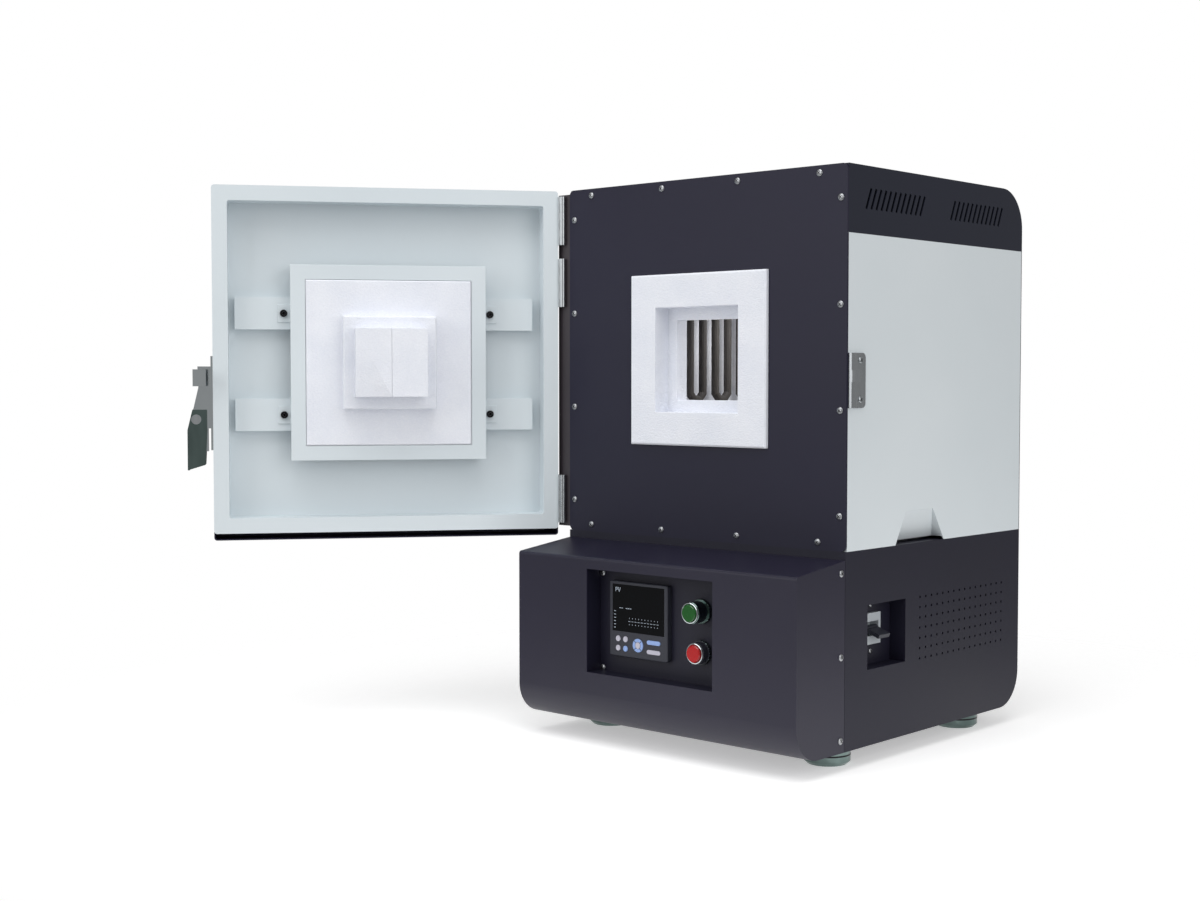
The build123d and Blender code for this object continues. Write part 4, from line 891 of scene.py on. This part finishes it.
@dataclass
class Fasteners:
    """Screws of the case, the console, the recesses, the keeper and the door."""

    row_span: float = 123.3
    column_span: float = 126.0
    edge_room: float = 9.0
    row_low_room: float = 9.5
    column_low_room: float = 42.0
    console_rises: tuple[float, ...] = (39.0, 139.0, 239.0)
    console_room: float = 8.0
    recess_screw_x: float = -99.0
    recess_screw_rises: tuple[float, ...] = (98.0, 221.0)
    breaker_screw_y: float = -95.0
    breaker_screw_rises: tuple[float, ...] = (133.0, 191.0)
    keeper_thickness: float = 2.0
    keeper_screw_y: float = -157.5
    keeper_screw_rises: tuple[float, ...] = (445.0, 492.0)
    cap_screw_places: tuple[float, ...] = (91.0, 367.7)
    cap_screw_rises: tuple[float, ...] = (157.5, 293.0)
    cap_screw_depth: float = 22.0

    def build(self) -> None:
        """Build every group of screws."""
        self.plate()
        self.console()
        self.recesses()
        self.door()

    def plate(self) -> None:
        """Screws round the rim of the front plate."""
        low, high = node_box("front_plate")
        rows = [self.row_span * (step - 1.5) for step in range(4)]
        for level, rise in (("low", low.z + self.row_low_room), ("high", high.z - self.edge_room)):
            for index, x in enumerate(rows):
                place = front_frame(x, low.y, rise)
                SHEET_SCREW.build(f"plate_screw_{level}_{index}", place, "housing")
        for side, x in (("left", low.x + self.edge_room), ("right", high.x - self.edge_room)):
            for index in range(4):
                rise = low.z + self.column_low_room + self.column_span * index
                place = front_frame(x, low.y, rise)
                SHEET_SCREW.build(f"plate_screw_{side}_{index}", place, "housing")

    def console(self) -> None:
        """Screws on both sides of the console."""
        low, high = node_box("console_shell")
        y = high.y - self.console_room
        for index, rise in enumerate(self.console_rises):
            place = right_frame(high.x, y, rise)
            SHEET_SCREW.build(f"console_screw_right_{index}", place, "housing")
            place = left_frame(low.x, y, rise)
            SHEET_SCREW.build(f"console_screw_left_{index}", place, "housing")

    def recesses(self) -> None:
        """Screws of the control recess, the breaker recess and the keeper."""
        floor = node_box("control_recess")[1].y - SHEET
        for index, rise in enumerate(self.recess_screw_rises):
            place = front_frame(self.recess_screw_x, floor, rise)
            RECESS_SCREW.build(f"recess_screw_{index}", place, "housing")
        wall = node_box("breaker_recess")[0].x + SHEET
        for index, rise in enumerate(self.breaker_screw_rises):
            place = right_frame(wall, self.breaker_screw_y, rise)
            BREAKER_SCREW.build(f"breaker_screw_{index}", place, "housing")
        face = node_box("side_panel_right")[1].x + self.keeper_thickness
        for index, rise in enumerate(self.keeper_screw_rises):
            place = right_frame(face, self.keeper_screw_y, rise)
            KEEPER_SCREW.build(f"keeper_screw_{index}", place, "housing")

    def door(self) -> None:
        """Black cap screws that hold the tray on the bars."""
        for column, place in enumerate(self.cap_screw_places):
            for row, rise in enumerate(self.cap_screw_rises):
                where = door_frame(place, self.cap_screw_depth, rise)
                CAP_SCREW.build(f"cap_screw_{column}{row}", where, "door")


@dataclass
class PanelMarks:
    """Marks on the controller glass, gaps of the ring key and rings of the buttons."""

    label_count: int = 6
    label_first: float = 34.5
    label_pitch: float = 4.2
    tick_count: int = 10
    tick_first: float = 28.0
    tick_pitch: float = 5.2
    scale_down: float = 46.0
    letter_strokes: tuple[tuple[float, float, float, float, float], ...] = (
        (5.0, 6.6, 0.8, 5.4, 0.0),
        (6.6, 4.4, 2.6, 0.8, 0.0),
        (6.6, 6.8, 2.6, 0.8, 0.0),
        (7.8, 5.6, 0.8, 1.9, 0.0),
        (10.0, 6.6, 0.8, 5.6, 14.0),
        (12.0, 6.6, 0.8, 5.6, -14.0),
    )
    label_across: float = 3.8
    label_size: tuple[float, float] = (3.0, 0.8)
    dash_places: tuple[float, ...] = (12.5, 16.0, 23.0, 26.5, 30.0)
    dash_down: float = 30.0
    dash_size: tuple[float, float] = (2.6, 0.8)
    dot_gap: float = 4.0
    dot_size: tuple[float, float] = (0.7, 1.2)
    tick_size: tuple[float, float] = (3.4, 0.5)
    mark_depth: float = 0.12
    mark_edge: float = 0.03
    gap_place: float = 0.74
    gap_length: float = 0.42
    gap_width: float = 0.9
    gap_depth: float = 0.1
    collar_profile: tuple[tuple[float, float], ...] = (
        (10.8, -0.2),
        (10.8, 0.5),
        (11.6, 1.0),
        (12.6, 0.8),
        (12.9, 0.0),
    )
    collar_sides: int = 64
    nut_radius: float = 14.9
    rib_count: int = 28
    rib_size: Point = (1.0, 1.8, 4.8)
    rib_edge: float = 0.3

    def build(self) -> None:
        """Build the marks, the gaps and the rings."""
        self.screen()
        self.ring()
        for colour in ("green", "red"):
            self.button(colour)

    def screen(self) -> None:
        """Pale marks of the display: two letters, side labels and a dotted scale."""
        low, high = node_box("controller_screen")
        mesh = bmesh.new()

        def mark(across: float, down: float, width: float, height: float, lean: float = 0.0) -> None:
            """Add one stroke, measured from the top left corner of the screen.

            Args:
                across: Distance from the left edge in millimetres.
                down: Distance from the top edge in millimetres.
                width: Width of the stroke in millimetres.
                height: Height of the stroke in millimetres.
                lean: Turn of the stroke in degrees.
            """
            place = front_frame(low.x + across, low.y, high.z - down)
            spin = place @ Matrix.Rotation(math.radians(lean), 4, "Z")
            slab(mesh, spin, width, height, self.mark_depth, self.mark_edge)

        for across, down, width, height, lean in self.letter_strokes:
            mark(across, down, width, height, lean)
        for index in range(self.label_count):
            mark(self.label_across, self.label_first + self.label_pitch * index, *self.label_size)
        for across in self.dash_places:
            mark(across, self.dash_down, *self.dash_size)
        for index in range(self.tick_count):
            across = self.tick_first + self.tick_pitch * index
            for down in (self.scale_down - self.dot_gap, self.scale_down + self.dot_gap):
                mark(across, down, *self.dot_size)
            mark(across, self.scale_down, *self.tick_size)
        finish_piece("screen_marks", mesh, MARK_WHITE, "housing", False)

    def ring(self) -> None:
        """Four dark gaps that part the ring key."""
        low, high = node_box("ring_key")
        middle = (low + high) / 2
        reach = (high.x - low.x) / 2
        mesh = bmesh.new()
        for turn in range(4):
            angle = math.radians(45 + 90 * turn)
            spin = front_frame(middle.x, low.y, middle.z) @ Matrix.Rotation(angle, 4, "Z")
            shift = spin @ Matrix.Translation((self.gap_place * reach * MM, 0, 0))
            length = self.gap_length * reach
            slab(mesh, shift, length, self.gap_width, self.gap_depth, self.mark_edge)
        finish_piece("ring_key_gaps", mesh, BLACK_PLASTIC, "ring_key", False)

    def button(self, colour: str) -> None:
        """Bright ring on the collar and a ribbed nut at its foot.

        Args:
            colour: Colour name of the button.
        """
        sleeve = node_box(f"{colour}_sleeve")
        cap = node_box(f"{colour}_cap")
        x, z = (cap[0].x + cap[1].x) / 2, (cap[0].z + cap[1].z) / 2
        face = front_frame(x, sleeve[0].y, z)
        mesh = bmesh.new()
        lathe(mesh, face, self.collar_profile, self.collar_sides)
        finish_piece(f"{colour}_ring", mesh, CHROME, "housing")
        floor = node_box("control_recess")[1].y - SHEET
        nut = bmesh.new()
        for rib in range(self.rib_count):
            angle = 2 * math.pi * rib / self.rib_count
            spin = front_frame(x, floor, z) @ Matrix.Rotation(angle, 4, "Z")
            shift = spin @ Matrix.Translation((self.nut_radius * MM, 0, 0))
            slab(nut, shift, *self.rib_size, self.rib_edge)
        finish_piece(f"{colour}_nut_ribs", nut, CHROME_PAINTED_REFLECTIONS, "housing", False)


@dataclass
class FootBands:
    """Dark bands round the four feet."""

    radius: float = 29.0
    sunk: float = 0.3
    proud: float = 0.15
    slope: float = 0.3
    band_low: float = 11.0
    band_high: float = 13.4
    sides: int = 72

    def build(self) -> None:
        """Build a dark band round each foot."""
        low, high = node_box("feet")
        flanks = (("left", low.x + self.radius), ("right", high.x - self.radius))
        ends = (("front", low.y + self.radius), ("rear", high.y - self.radius))
        for side, x in flanks:
            for end, y in ends:
                mesh = bmesh.new()
                where = frame_of((x, y, 0.0), Vector((1, 0, 0)), Vector((0, 0, 1)))
                rings = [
                    (self.radius - self.sunk, self.band_low),
                    (self.radius + self.proud, self.band_low + self.slope),
                    (self.radius + self.proud, self.band_high - self.slope),
                    (self.radius - self.sunk, self.band_high),
                ]
                lathe(mesh, where, rings, self.sides)
                finish_piece(f"foot_band_{side}_{end}", mesh, BLACK_STEEL, "housing")


def main() -> None:
    """Build the studio and dress the furnace."""
    logging.basicConfig(level=logging.INFO, format="%(message)s")
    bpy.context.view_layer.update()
    assemblies = (
        Studio(),
        Case(),
        Base(),
        ControlPanel(),
        Chamber(),
        Door(),
        Fasteners(),
        PanelMarks(),
        FootBands(),
    )
    for assembly in assemblies:
        assembly.build()
        log.info("finished %s", type(assembly).__name__)


if __name__ == "__main__":
    main()
